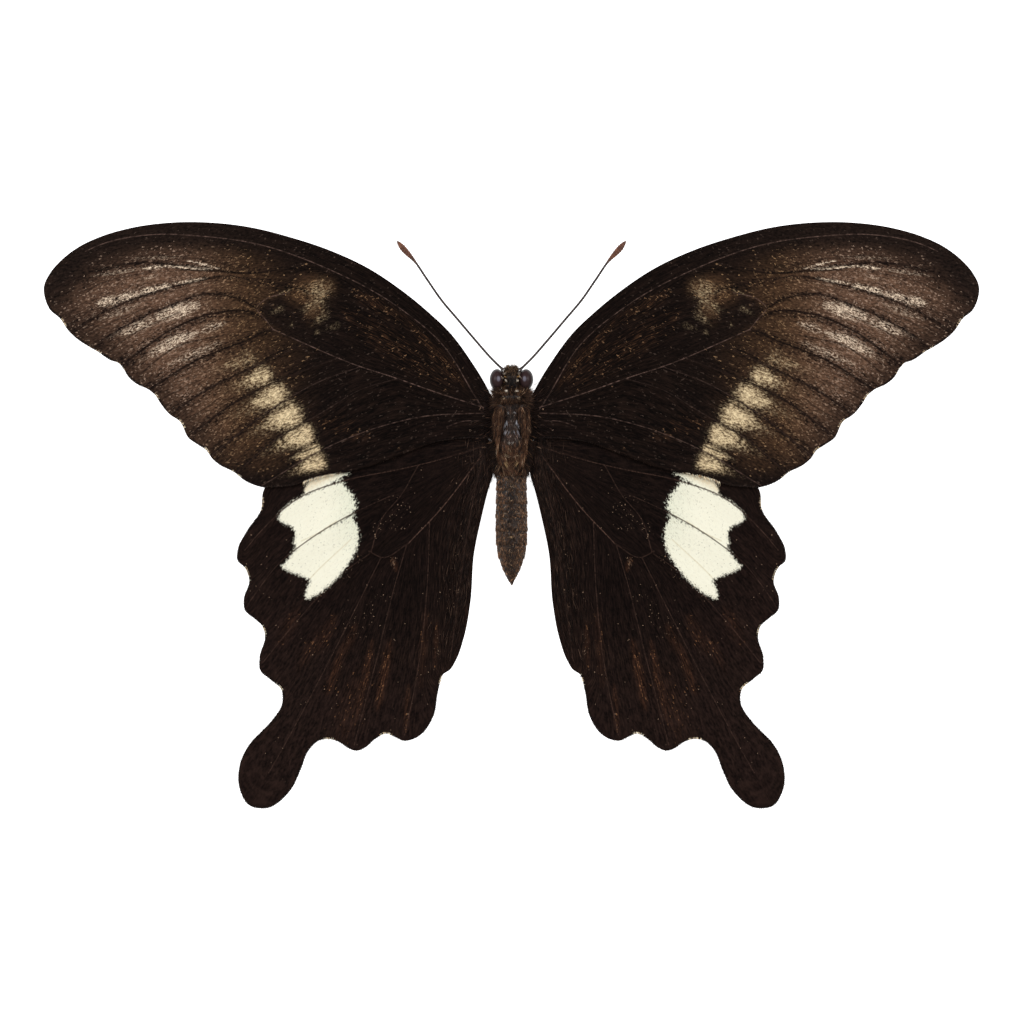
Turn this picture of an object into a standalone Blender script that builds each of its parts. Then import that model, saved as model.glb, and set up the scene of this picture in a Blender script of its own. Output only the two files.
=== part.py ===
"""A swallowtail butterfly, dried with its wings spread, lying belly down.

Each piece that a preparator could part from the rest is one closed solid. Sizes are in millimetres
and are turned into metres by MM. The head points along +Y, +Z is up, and the origin is on the
surface that the specimen lies on, in the middle of its outline.
"""
import math

import bmesh
import bpy
from mathutils import Euler, Matrix, Vector

MM = 0.001

# Clearances and plate
GAP = 0.3
WING_THICKNESS = 0.3

# Arch of the wings: highest over the shoulders, lowest at the tips, which touch the surface
SHOULDER_HEIGHT = 4.72
ARCH_CREST_Y = 5.0
ARCH_ACROSS = 0.00099
ARCH_ALONG = 0.00157
HINDWING_DROP = WING_THICKNESS + GAP
SHEET_STEP = 5.0
OUTLINE_STEPS = 2
CUTTER_HEIGHT = 30.0

# Forewing, as stretches between corners: (distance outward from the midline, y)
FOREWING_COSTA_AND_MARGIN = [
    (2.7, 15.3), (3.9, 17.7), (5.3, 19.9), (7.9, 23.4), (10.5, 25.9), (14.3, 29.0), (18.2, 31.6),
    (23.3, 34.0), (28.4, 35.7), (33.6, 37.0), (38.7, 37.6), (43.8, 37.6), (49.0, 36.9), (52.8, 35.8),
    (55.4, 34.6), (57.9, 32.7), (59.2, 31.2), (60.0, 29.4), (59.8, 27.8), (59.1, 26.4), (58.0, 25.5),
    (56.8, 23.8), (55.6, 22.7), (54.2, 21.8), (53.3, 21.3), (51.3, 20.0), (50.4, 19.7), (49.7, 18.9),
    (49.1, 17.9), (48.2, 17.1), (46.4, 16.2), (45.6, 15.5), (45.1, 14.7), (43.8, 13.1), (42.5, 12.2),
    (41.3, 10.0), (40.0, 9.1), (39.1, 8.5), (38.3, 7.4), (37.5, 6.7), (35.4, 5.6), (34.3, 4.7),
    (32.5, 3.9),
]
FOREWING_INNER_MARGIN = [
    (31.6, 3.7), (28.4, 3.9), (24.6, 5.1), (20.3, 5.8), (15.0, 7.6), (9.2, 9.6), (5.3, 10.0),
]
FOREWING_ROOT = [(3.2, 10.1), (2.8, 12.4)]

# Hindwing, as stretches between corners
HINDWING_COSTA = [
    (3.0, 9.4), (6.0, 12.2), (10.5, 14.3), (16.0, 14.6), (22.0, 12.6), (27.5, 8.8), (31.0, 4.6),
]
HINDWING_OUTER_MARGIN = [
    (31.8, 3.2), (32.1, 0.8), (33.9, -1.9), (35.1, -4.4), (35.1, -5.7), (34.2, -6.6), (33.6, -8.3),
    (34.3, -10.6), (34.2, -12.0), (32.9, -13.2), (32.0, -14.0), (31.6, -15.3), (32.3, -18.2),
    (32.2, -19.8), (31.0, -20.9), (29.5, -22.3), (29.4, -24.0), (30.7, -26.2),
]
HINDWING_TAIL = [
    (32.0, -27.6), (33.3, -28.9), (34.8, -31.7), (34.9, -35.0), (33.6, -37.2), (31.5, -37.5),
    (28.4, -35.2), (27.1, -32.6), (26.0, -30.0),
]
HINDWING_LOWER_MARGIN = [
    (24.7, -28.8), (23.3, -28.6), (21.6, -29.2), (19.8, -30.1), (17.5, -28.5), (16.1, -27.9),
    (13.8, -28.7), (11.6, -28.0), (10.1, -25.8), (9.4, -22.3), (8.8, -20.3),
]
HINDWING_INNER_MARGIN = [
    (7.9, -19.7), (7.2, -18.6), (6.1, -15.5), (5.3, -11.2), (4.8, -4.7), (3.9, -0.3), (2.95, 3.5),
    (2.8, 6.0),
]

# Trunk: centre and half sizes across, along and up
THORAX = ((0.0, 10.0, 3.75), (2.4, 4.5, 2.45))
COLLAR = ((0.0, 15.2, 3.8), (1.75, 0.4, 1.6))
HEAD = ((0.0, 17.35, 3.9), (1.7, 1.45, 1.5))
EYE = ((1.85, 17.5, 3.9), (0.95, 1.35, 1.3))
TEGULA = ((1.68, 12.3, 5.92), (0.8, 2.0, 0.2))
TEGULA_TILT = math.radians(35.0)
TEGULA_PITCH = math.radians(-9.0)

# Abdomen: radius of each ring from the waist to the tip, and the axis that it is turned about
ABDOMEN_FRONT = (0.0, 5.2, 3.35)
ABDOMEN_DROOP = math.radians(4.5)
ABDOMEN_RING_LENGTH = 1.75
ABDOMEN_RING_RADII = [1.75, 2.1, 2.15, 2.15, 2.1, 1.8, 1.3, 0.62]
ABDOMEN_WAIST_RADIUS = 1.2
ABDOMEN_WAIST_BULGE = 0.05
ABDOMEN_RING_MIDDLE = 0.4
ABDOMEN_RING_EDGE = 0.85
ABDOMEN_GROOVE = 0.93
ABDOMEN_STEPS = 18

# Feelers, mouthparts and legs: routes of their middle lines for the +X side, and radii
ANTENNA_ROUTE = [
    (1.05, 18.7, 4.75), (2.4, 20.0, 4.7), (4.7, 22.6, 4.4), (6.9, 25.2, 4.0), (9.0, 27.7, 3.5),
    (10.8, 30.3, 2.9), (12.6, 32.9, 2.2), (13.7, 34.1, 1.8), (14.7, 35.3, 1.4),
]
ANTENNA_RADIUS = 0.17
CLUB_RADIUS = 0.42
CLUB_SHARE = 0.2
CLUB_SWELL_ANGLE = 2.6
PALP_ROUTE = [(0.6, 17.5, 1.8), (0.62, 18.5, 1.85), (0.62, 19.1, 2.4), (0.58, 19.35, 3.2)]
PALP_RADIUS = 0.25
PALP_TIP_RADIUS = 0.15
PROBOSCIS_CENTRE = (0.0, 18.2, 1.35)
PROBOSCIS_RADIUS = 0.1
PROBOSCIS_COIL = (0.68, 0.2)
PROBOSCIS_TURNS = 1.75
PROBOSCIS_TURN_POINTS = 14
LEG_ROUTES = {
    "fore_leg": [(0.8, 13.6, 0.85), (1.7, 15.4, 0.85), (1.9, 17.2, 0.5), (1.1, 18.6, 0.2)],
    "mid_leg": [(1.1, 10.6, 0.85), (2.3, 9.0, 0.85), (2.0, 5.6, 0.5), (1.4, 2.6, 0.2)],
    "hind_leg": [(0.5, 7.8, 0.85), (1.0, 5.2, 0.7), (0.7, 1.6, 0.45), (0.5, -1.6, 0.2)],
}
LEG_RADIUS = 0.2
FOOT_RADIUS = 0.16
ROUTE_STEPS = 3
ROD_ROUNDNESS = 2

SIDES = {"left": -1, "right": 1}


def clear_scene():
    """Remove what the file held before."""
    for old in list(bpy.data.objects):
        bpy.data.objects.remove(old, do_unlink=True)


def new_collection(name):
    collection = bpy.data.collections.new(name)
    bpy.context.scene.collection.children.link(collection)
    return collection


def finish(name, colour, roughness, metallic=0.0):
    """A plain finish in the colour of the real surface."""
    material = bpy.data.materials.new(name)
    material.use_nodes = True
    shader = material.node_tree.nodes["Principled BSDF"]
    shader.inputs["Base Color"].default_value = (*colour, 1.0)
    shader.inputs["Roughness"].default_value = roughness
    shader.inputs["Metallic"].default_value = metallic
    return material


def add_object(name, data, collection, parent=None):
    item = bpy.data.objects.new(name, data)
    collection.objects.link(item)
    item.parent = parent
    return item


def mark_as_cutter(item):
    item.hide_render = True
    item.display_type = "WIRE"


def mesh_from(bm, name):
    """Close a bmesh into a new mesh with its faces pointing out."""
    bmesh.ops.recalc_face_normals(bm, faces=bm.faces)
    mesh = bpy.data.meshes.new(name)
    bm.to_mesh(mesh)
    bm.free()
    return mesh


def wing_height(outward, y):
    """Height of the middle of a forewing above the surface that the specimen lies on."""
    return SHOULDER_HEIGHT - ARCH_ACROSS * outward ** 2 - ARCH_ALONG * (y - ARCH_CREST_Y) ** 2


def arched_sheet(name, outline, drop, side):
    """An open grid over a wing's outline, bent to the arch of the wings."""
    across = [x for x, y, corner in outline]
    along = [y for x, y, corner in outline]
    low_x, low_y = min(across) - SHEET_STEP, min(along) - SHEET_STEP
    columns = math.ceil((max(across) + SHEET_STEP - low_x) / SHEET_STEP)
    rows = math.ceil((max(along) + SHEET_STEP - low_y) / SHEET_STEP)
    bm = bmesh.new()
    bmesh.ops.create_grid(bm, x_segments=columns, y_segments=rows, size=0.5)
    for vertex in bm.verts:
        outward = low_x + (vertex.co.x + 0.5) * columns * SHEET_STEP
        y = low_y + (vertex.co.y + 0.5) * rows * SHEET_STEP
        vertex.co = Vector((side * outward, y, wing_height(outward, y) - drop)) * MM
    bmesh.ops.triangulate(bm, faces=bm.faces)
    return mesh_from(bm, name)


def join_stretches(*stretches):
    """One closed outline whose corners are the first points of its stretches."""
    outline = []
    for stretch in stretches:
        for place, (x, y) in enumerate(stretch):
            outline.append((x, y, place == 0))
    return outline


def outline_curve(name, outline, side, collection):
    """A flat outline, smooth but for its corners, extruded both ways."""
    curve = bpy.data.curves.new(name, "CURVE")
    curve.dimensions = "2D"
    curve.fill_mode = "BOTH"
    curve.extrude = CUTTER_HEIGHT / 2 * MM
    curve.resolution_u = OUTLINE_STEPS
    spline = curve.splines.new("BEZIER")
    spline.bezier_points.add(len(outline) - 1)
    for knot, (x, y, corner) in zip(spline.bezier_points, outline):
        knot.co = Vector((side * x, y, 0.0)) * MM
        knot.handle_left_type = "VECTOR" if corner else "AUTO"
        knot.handle_right_type = "VECTOR" if corner else "AUTO"
    spline.use_cyclic_u = True
    return add_object(name, curve, collection)


def as_mesh(curve_object, collection):
    """Turn a curve object into a welded mesh object in its place."""
    bpy.context.view_layer.update()
    name = curve_object.name
    evaluated = curve_object.evaluated_get(bpy.context.evaluated_depsgraph_get())
    raw = bpy.data.meshes.new_from_object(evaluated)
    place = curve_object.matrix_world.copy()
    bpy.data.objects.remove(curve_object, do_unlink=True)
    bm = bmesh.new()
    bm.from_mesh(raw)
    bmesh.ops.remove_doubles(bm, verts=bm.verts, dist=0.001 * MM)
    item = add_object(name, mesh_from(bm, name), collection)
    item.matrix_world = place
    return item


def add_wing(name, outline, drop, side, material):
    """A wing: the arched sheet, given its thickness and trimmed to the outline."""
    wing = add_object(name, arched_sheet(name, outline, drop, side), PARTS, SPECIMEN)
    wing.data.materials.append(material)
    trimmer = as_mesh(outline_curve(name + "_outline", outline, side, CUTTERS), CUTTERS)
    mark_as_cutter(trimmer)
    membrane = wing.modifiers.new("membrane", "SOLIDIFY")
    membrane.thickness = WING_THICKNESS * MM
    membrane.offset = 0.0
    trim = wing.modifiers.new("trim", "BOOLEAN")
    trim.operation = "INTERSECT"
    trim.solver = "EXACT"
    trim.object = trimmer
    return wing


def add_egg(name, place, collection, material=None, side=1, swell=0.0, segments=14, rings=10):
    """A rounded piece from a sphere, with its poles fore and aft; swell adds to every half size."""
    centre, half = place
    bm = bmesh.new()
    bmesh.ops.create_uvsphere(bm, u_segments=segments, v_segments=rings, radius=1.0,
                              matrix=Matrix.Rotation(math.pi / 2, 4, "X"))
    for vertex in bm.verts:
        for axis in range(3):
            vertex.co[axis] *= (half[axis] + swell) * MM
    item = add_object(name, mesh_from(bm, name), collection, SPECIMEN)
    item.location = Vector((side * centre[0], centre[1], centre[2])) * MM
    item.data.shade_smooth()
    if material:
        item.data.materials.append(material)
    return item


def smooth_route(points):
    """Points along a smooth curve that passes through every given point."""
    knots = [Vector(point) for point in points]
    knots = [2 * knots[0] - knots[1]] + knots + [2 * knots[-1] - knots[-2]]
    route = []
    for before, start, end, after in zip(knots, knots[1:], knots[2:], knots[3:]):
        for step in range(ROUTE_STEPS):
            t = step / ROUTE_STEPS
            route.append(0.5 * (2 * start + (end - before) * t
                                + (2 * before - 5 * start + 4 * end - after) * t ** 2
                                + (3 * start - before - 3 * end + after) * t ** 3))
    route.append(knots[-2])
    return route


def add_rod(name, route, radii, side, material):
    """A round rod along a route, with a radius of its own at each point and closed ends."""
    curve = bpy.data.curves.new(name, "CURVE")
    curve.dimensions = "3D"
    curve.bevel_depth = MM
    curve.bevel_resolution = ROD_ROUNDNESS
    curve.use_fill_caps = True
    spline = curve.splines.new("POLY")
    spline.points.add(len(route) - 1)
    for point, where, radius in zip(spline.points, route, radii):
        point.co = (side * where[0] * MM, where[1] * MM, where[2] * MM, 1.0)
        point.radius = radius
    rod = add_object(name, curve, PARTS, SPECIMEN)
    curve.materials.append(material)
    return rod


def taper(count, start, end):
    """Radii that change evenly from start to end."""
    return [start + (end - start) * place / (count - 1) for place in range(count)]


def add_antenna(name, side, material):
    """A thread-like feeler that swells into a club at its tip."""
    route = smooth_route(ANTENNA_ROUTE)
    radii = []
    for place in range(len(route)):
        along = place / (len(route) - 1)
        into_club = max(0.0, (along - 1 + CLUB_SHARE) / CLUB_SHARE)
        swell = math.sin(into_club * CLUB_SWELL_ANGLE)
        radii.append(ANTENNA_RADIUS + (CLUB_RADIUS - ANTENNA_RADIUS) * swell)
    return add_rod(name, route, radii, side, material)


def add_proboscis(name, material):
    """The tongue, coiled like a watch spring under the head."""
    outer, inner = PROBOSCIS_COIL
    count = round(PROBOSCIS_TURNS * PROBOSCIS_TURN_POINTS)
    route = []
    for place in range(count + 1):
        turned = place / count
        angle = math.pi / 2 - turned * PROBOSCIS_TURNS * 2 * math.pi
        radius = outer + (inner - outer) * turned
        route.append((PROBOSCIS_CENTRE[0], PROBOSCIS_CENTRE[1] + radius * math.cos(angle),
                      PROBOSCIS_CENTRE[2] + radius * math.sin(angle)))
    return add_rod(name, route, [PROBOSCIS_RADIUS] * len(route), 1, material)


def add_abdomen(name, material):
    """The hind body, turned about its own axis, with a groove between its rings."""
    profile = [(0.0, 0.0), (ABDOMEN_WAIST_RADIUS, -ABDOMEN_WAIST_BULGE)]
    front = ABDOMEN_WAIST_RADIUS
    for place, radius in enumerate(ABDOMEN_RING_RADII):
        top = -place * ABDOMEN_RING_LENGTH
        profile.append(((front + radius) / 2, top - ABDOMEN_RING_LENGTH * ABDOMEN_RING_MIDDLE))
        profile.append((radius, top - ABDOMEN_RING_LENGTH * ABDOMEN_RING_EDGE))
        profile.append((radius * ABDOMEN_GROOVE, top - ABDOMEN_RING_LENGTH))
        front = radius
    profile[-1] = (0.0, profile[-1][1])
    bm = bmesh.new()
    points = [bm.verts.new(Vector((x, 0.0, z)) * MM) for x, z in profile]
    for upper, lower in zip(points, points[1:]):
        bm.edges.new((upper, lower))
    mesh = bpy.data.meshes.new(name)
    bm.to_mesh(mesh)
    bm.free()
    mesh.materials.append(material)
    abdomen = add_object(name, mesh, PARTS, SPECIMEN)
    turn = abdomen.modifiers.new("turn", "SCREW")
    turn.axis = "Z"
    turn.steps = ABDOMEN_STEPS
    turn.render_steps = ABDOMEN_STEPS
    turn.use_merge_vertices = True
    turn.merge_threshold = 0.001 * MM
    abdomen.location = Vector(ABDOMEN_FRONT) * MM
    abdomen.rotation_euler = Euler((-math.pi / 2 + ABDOMEN_DROOP, 0.0, 0.0))
    return abdomen


def add_head(material):
    """The head capsule, hollowed on both sides so that the eyes sit in it with a gap."""
    head = add_egg("head", HEAD, PARTS, material)
    for word, side in SIDES.items():
        socket = add_egg("socket_" + word, EYE, CUTTERS, side=side, swell=GAP)
        mark_as_cutter(socket)
        cut = head.modifiers.new("socket " + word, "BOOLEAN")
        cut.operation = "DIFFERENCE"
        cut.solver = "EXACT"
        cut.object = socket


def add_tegula(name, side, material):
    """The scaly flap that covers the root of a forewing."""
    flap = add_egg(name, TEGULA, PARTS, material, side=side, segments=12, rings=8)
    flap.rotation_euler = Euler((TEGULA_PITCH, side * TEGULA_TILT, 0.0))


def add_leg(name, route, side, material):
    """A leg folded under the trunk, thinner towards the foot."""
    smooth = smooth_route(route)
    add_rod(name, smooth, taper(len(smooth), LEG_RADIUS, FOOT_RADIUS), side, material)


clear_scene()
PARTS = new_collection("spread_butterfly_specimen")
CUTTERS = new_collection("cutters")
SPECIMEN = add_object("specimen", None, PARTS)

wing_scales = finish("wing scales", (0.035, 0.026, 0.02), 0.6)
hindwing_scales = finish("hindwing scales", (0.02, 0.015, 0.013), 0.6)
body_hair = finish("body hair", (0.05, 0.038, 0.03), 0.7)
abdomen_scales = finish("abdomen scales", (0.07, 0.05, 0.035), 0.7)
eye_shell = finish("eye shell", (0.03, 0.02, 0.025), 0.25)
horn = finish("horn", (0.025, 0.018, 0.015), 0.4)

FOREWING = join_stretches(FOREWING_COSTA_AND_MARGIN, FOREWING_INNER_MARGIN, FOREWING_ROOT)
HINDWING = join_stretches(HINDWING_COSTA + HINDWING_OUTER_MARGIN + HINDWING_TAIL
                          + HINDWING_LOWER_MARGIN + HINDWING_INNER_MARGIN)

add_egg("thorax", THORAX, PARTS, body_hair, segments=18, rings=14)
add_egg("collar", COLLAR, PARTS, body_hair)
add_abdomen("abdomen", abdomen_scales)
add_head(body_hair)
add_proboscis("proboscis", horn)
for word, side in SIDES.items():
    add_wing("forewing_" + word, FOREWING, 0.0, side, wing_scales)
    add_wing("hindwing_" + word, HINDWING, HINDWING_DROP, side, hindwing_scales)
    add_egg("eye_" + word, EYE, PARTS, eye_shell, side=side)
    add_tegula("tegula_" + word, side, body_hair)
    add_antenna("antenna_" + word, side, horn)
    palp_route = smooth_route(PALP_ROUTE)
    palp_radii = taper(len(palp_route), PALP_RADIUS, PALP_TIP_RADIUS)
    add_rod("palp_" + word, palp_route, palp_radii, side, body_hair)
    for leg, route in LEG_ROUTES.items():
        add_leg(leg + "_" + word, route, side, horn)
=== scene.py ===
# %% [markdown]
# # A dried swallowtail butterfly
# The specimen lies belly down with its wings spread. Its solids come packed in one frame, in metres,
# with the head along +Y and the back along +Z. Each piece made here takes the place of the solid that
# it is named after, so nothing has to be moved or scaled to fit.

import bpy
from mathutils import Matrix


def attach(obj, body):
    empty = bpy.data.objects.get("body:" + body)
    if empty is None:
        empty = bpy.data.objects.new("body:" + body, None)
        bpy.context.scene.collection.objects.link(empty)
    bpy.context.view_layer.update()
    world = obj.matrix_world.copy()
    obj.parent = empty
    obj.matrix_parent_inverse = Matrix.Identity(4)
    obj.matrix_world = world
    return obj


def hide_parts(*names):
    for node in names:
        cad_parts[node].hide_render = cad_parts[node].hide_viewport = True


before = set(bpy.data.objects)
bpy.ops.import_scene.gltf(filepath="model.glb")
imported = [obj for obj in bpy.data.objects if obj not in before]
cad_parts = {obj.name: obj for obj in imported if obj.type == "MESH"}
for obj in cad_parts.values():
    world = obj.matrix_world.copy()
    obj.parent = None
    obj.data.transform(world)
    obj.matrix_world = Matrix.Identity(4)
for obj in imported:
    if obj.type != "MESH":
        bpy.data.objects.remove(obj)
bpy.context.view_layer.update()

# %% [markdown]
# ## Units and sides
# Everything is worked out in millimetres and turned into metres only when a mesh is made. The animal
# is the same on both sides, so each pair is worked out once, for +X, and mirrored. Lots are drawn from
# one seeded source, so that the script gives the same specimen each time.

# %% Modules, units and sides
import math

import bmesh
import bpy
import numpy as np
from mathutils import Vector
from mathutils.geometry import delaunay_2d_cdt

MM = 0.001
SIDES = {"left": -1, "right": 1}
chance = np.random.default_rng(7)

# %% [markdown]
# ## Shader maths as sums
# A butterfly's colours are thousands of tiny scales, so every finish below is arithmetic on noise.
# Wiring Math nodes one by one hides that arithmetic. A small class wraps a socket, and Python's own
# operators add the nodes, so that a finish reads like the sum that it is.

# %% A socket that can be added and multiplied
class Varying:
    """A number or colour that varies over a surface: the output socket of a node."""

    def __init__(self, finish, socket):
        self.finish = finish
        self.socket = socket

    def math(self, operation, *operands):
        return self.finish.node("Math", {"operation": operation}, dict(enumerate(operands)))

    def __add__(self, other):
        return self.math("ADD", self, other)

    def __sub__(self, other):
        return self.math("SUBTRACT", self, other)

    def __rsub__(self, other):
        return self.math("SUBTRACT", other, self)

    def __mul__(self, other):
        return self.math("MULTIPLY", self, other)

    def __pow__(self, other):
        return self.math("POWER", self, other)

    def __lt__(self, other):
        return self.math("LESS_THAN", self, other)

    def most(self, other):
        return self.math("MAXIMUM", self, other)

    def least(self, other):
        return self.math("MINIMUM", self, other)

    def size(self):
        return self.math("ABSOLUTE", self)

    def hump(self):
        """0 at every whole number, and 1 halfway between them."""
        return self.math("ABSOLUTE", self.math("SINE", self * math.pi))

    def ramp(self, low, high):
        """0 up to low, 1 from high, and smooth between them."""
        return self.finish.node(
            "MapRange", {"interpolation_type": "SMOOTHSTEP"},
            {"Value": self, "From Min": low, "From Max": high})

    __radd__ = __add__
    __rmul__ = __mul__


# %% A material that is built by calls
class Finish:
    """A material, with one method that adds any node to it."""

    def __init__(self, name):
        self.material = bpy.data.materials.new(name)
        self.material.use_nodes = True
        self.tree = self.material.node_tree
        self.tree.nodes.clear()

    def node(self, kind, settings=None, inputs=None, output=0):
        node = self.tree.nodes.new("ShaderNode" + kind)
        for setting, value in (settings or {}).items():
            setattr(node, setting, value)
        for key, value in (inputs or {}).items():
            if isinstance(value, Varying):
                self.tree.links.new(value.socket, node.inputs[key])
            else:
                node.inputs[key].default_value = value
        return Varying(self, node.outputs[output]) if len(node.outputs) else None

    def number(self, name):
        """A number that the mesh carries at each point."""
        return self.node("Attribute", {"attribute_name": name}, output="Fac")

    def colour(self, name):
        """A colour that the mesh carries at each point."""
        return self.node("Attribute", {"attribute_name": name}, output="Color")

    def vector(self, x, y, z=0.0):
        return self.node("CombineXYZ", {}, {0: x, 1: y, 2: z})

    def blend(self, share, first, second):
        """First where share is 0, second where it is 1."""
        return self.node("Mix", {"data_type": "RGBA"}, {0: share, 6: first, 7: second}, output=2)

    def shade(self, share, colour):
        """A colour made darker or lighter by a number."""
        grey = self.vector(share, share, share)
        return self.node("Mix", {"data_type": "RGBA", "blend_type": "MULTIPLY"},
                         {0: 1.0, 6: colour, 7: grey}, output=2)

    def noise(self, where, scale=1.0, detail=2.0):
        return self.node("TexNoise", {}, {"Vector": where, "Scale": scale, "Detail": detail})

    def scales(self, where, scale=1.0):
        """Three random numbers for each of many small cells, which stand for single scales."""
        cells = self.node("TexVoronoi", {}, {"Vector": where, "Scale": scale}, output="Color")
        return [self.node("SeparateColor", {}, {0: cells}, output=channel) for channel in range(3)]

    def surface(self, constants, varying):
        """The final shader: constants on its own sockets, and what varies linked to them."""
        shader = self.node("BsdfPrincipled", {}, {**constants, **varying})
        self.node("OutputMaterial", {}, {"Surface": shader})


def paint(red, green, blue):
    """A colour as it is seen on a screen, 0 to 255, turned into light for the shader."""
    shares = [channel / 255 for channel in (red, green, blue)]
    light = [s / 12.92 if s <= 0.04045 else ((s + 0.055) / 1.055) ** 2.4 for s in shares]
    return (*light, 1.0)


# %% [markdown]
# ## Camera, floor and light
# The specimen was photographed from straight above with a long lens, on white. The camera hangs
# 1.46 m up with a 400 mm lens, which sees a strip 131.4 mm wide. Two soft boxes, left and right and
# a little towards the head, put soft highlights on the eyes and the back, which painted highlights
# strengthen, and a white surround fills the shadows as a light table would.

# %% Camera
LENS = 400.0
SEEN_WIDTH = 131.42
SEEN_CENTRE = (0.064, 0.513, 1.5)
camera_data = bpy.data.cameras.new("camera")
camera_data.lens = LENS
camera_data.clip_end = 10.0
camera = bpy.data.objects.new("camera", camera_data)
camera_height = SEEN_WIDTH * LENS / camera_data.sensor_width
camera.location = (Vector(SEEN_CENTRE) + Vector((0.0, 0.0, camera_height))) * MM
bpy.context.scene.collection.objects.link(camera)
bpy.context.scene.camera = camera
print("camera height in mm:", round(camera_height))

# %% White floor
FLOOR_HALF = 1.5
floor_finish = Finish("white_floor")
floor_grain = floor_finish.noise(floor_finish.node("TexCoord", output="Object"), 40.0)
floor_finish.surface(
    {"Roughness": 0.9, "Specular IOR Level": 0.1, "Emission Color": (1.0, 1.0, 1.0, 1.0),
     "Emission Strength": 1.1},
    {"Base Color": floor_finish.blend(floor_grain, paint(246, 246, 246), paint(250, 250, 250))})
floor_mesh = bpy.data.meshes.new("floor")
floor_corners = [(-FLOOR_HALF, -FLOOR_HALF, 0.0), (FLOOR_HALF, -FLOOR_HALF, 0.0),
                 (FLOOR_HALF, FLOOR_HALF, 0.0), (-FLOOR_HALF, FLOOR_HALF, 0.0)]
floor_mesh.from_pydata(floor_corners, [], [(0, 1, 2, 3)])
floor_mesh.materials.append(floor_finish.material)
floor = bpy.data.objects.new("floor", floor_mesh)
bpy.context.scene.collection.objects.link(floor)

# %% Soft boxes and surround
SOFT_BOX_PLACE = (0.42, 0.14, 0.46)
SOFT_BOX_SIZE = 0.36
SOFT_BOX_WATTS = 1.85
SURROUND = 0.39
for word, side in SIDES.items():
    light = bpy.data.lights.new("soft_box_" + word, "AREA")
    light.size = SOFT_BOX_SIZE
    light.energy = SOFT_BOX_WATTS
    lamp = bpy.data.objects.new("soft_box_" + word, light)
    lamp.location = (side * SOFT_BOX_PLACE[0], SOFT_BOX_PLACE[1], SOFT_BOX_PLACE[2])
    lamp.rotation_euler = (-lamp.location).to_track_quat("-Z", "Y").to_euler()
    bpy.context.scene.collection.objects.link(lamp)

world = bpy.data.worlds.new("white_surround")
world.use_nodes = True
world.node_tree.nodes["Background"].inputs["Color"].default_value = (1.0, 1.0, 1.0, 1.0)
world.node_tree.nodes["Background"].inputs["Strength"].default_value = SURROUND
bpy.context.scene.world = world
bpy.context.scene.view_settings.view_transform = "Standard"
print("soft boxes:", [lamp.name for lamp in bpy.data.lights], "surround:", SURROUND)

# %% [markdown]
# ## Curves and distances on the wing
# A wing is drawn flat first, by its outline and its veins, as distance outward from the body's
# middle line and distance along it. Each line has only the points that its shape needs, and a smooth
# curve runs through them. Nearly everything that is painted on a wing follows from how far a point
# is from those lines, so two short helpers do most of the work.

# %% Helpers on flat points
def smooth_through(points, step):
    """Points about every step mm along a smooth curve through the given points."""
    knots = np.array(points, float)
    gaps = np.linalg.norm(np.diff(knots, axis=0), axis=1)
    times = np.concatenate([[0.0], np.cumsum(gaps)])
    slopes = np.gradient(knots, times, axis=0) if len(knots) > 2 else np.repeat(
        (knots[1:] - knots[:1]) / gaps[0], 2, axis=0)
    wanted = np.linspace(0.0, times[-1], max(2, round(times[-1] / step) + 1))
    place = np.clip(np.searchsorted(times, wanted, side="right") - 1, 0, len(gaps) - 1)
    gap = gaps[place][:, None]
    t = (wanted - times[place])[:, None] / gap
    start, end = knots[place], knots[place + 1]
    start_slope, end_slope = slopes[place] * gap, slopes[place + 1] * gap
    return ((2 * t**3 - 3 * t**2 + 1) * start + (t**3 - 2 * t**2 + t) * start_slope
            + (3 * t**2 - 2 * t**3) * end + (t**3 - t**2) * end_slope)


def distance_to(points, path):
    """Distance from each point to a path."""
    nearest = np.full(len(points), np.inf)
    for start, end in zip(path[:-1], path[1:]):
        run = end - start
        share = np.clip(((points - start) @ run) / max(run @ run, 1e-12), 0.0, 1.0)
        away = points - start - share[:, None] * run
        nearest = np.minimum(nearest, np.einsum("ij,ij->i", away, away))
    return np.sqrt(nearest)


def inside(points, loop):
    """True for the points inside a closed loop."""
    x, y = points[:, 0], points[:, 1]
    within = np.zeros(len(points), bool)
    for (x0, y0), (x1, y1) in zip(loop, np.roll(loop, -1, axis=0)):
        if y0 != y1:
            crossing = x0 + (y - y0) * (x1 - x0) / (y1 - y0)
            within ^= ((y0 > y) != (y1 > y)) & (x < crossing)
    return within


def rise(values, low, high):
    """0 up to low, 1 from high, and smooth between them."""
    share = np.clip((values - low) / (high - low), 0.0, 1.0)
    return share * share * (3 - 2 * share)


def dabs(points, strokes, flatness=2.0, thinning=0.55, thin_start=True):
    """Soft dabs of paint: a start, an end, a half width and a strength each, thin at one or both ends."""
    total = np.zeros(len(points))
    for start, end, half_width, strength in strokes:
        run = np.subtract(end, start)
        length = np.hypot(*run)
        share = np.clip((points - start) @ run / length ** 2, 0.0, 1.0)
        away = np.linalg.norm(points - start - share[:, None] * run, axis=1)
        bare = (2.0 * share - 1.0) ** 2 if thin_start else share ** 1.5
        thinned = 1.0 - thinning * length / (length + 3 * half_width) * bare
        soft = np.exp(-(away / (half_width * thinned)) ** flatness)
        total = np.maximum(total, strength * thinned * soft)
    return total


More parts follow.
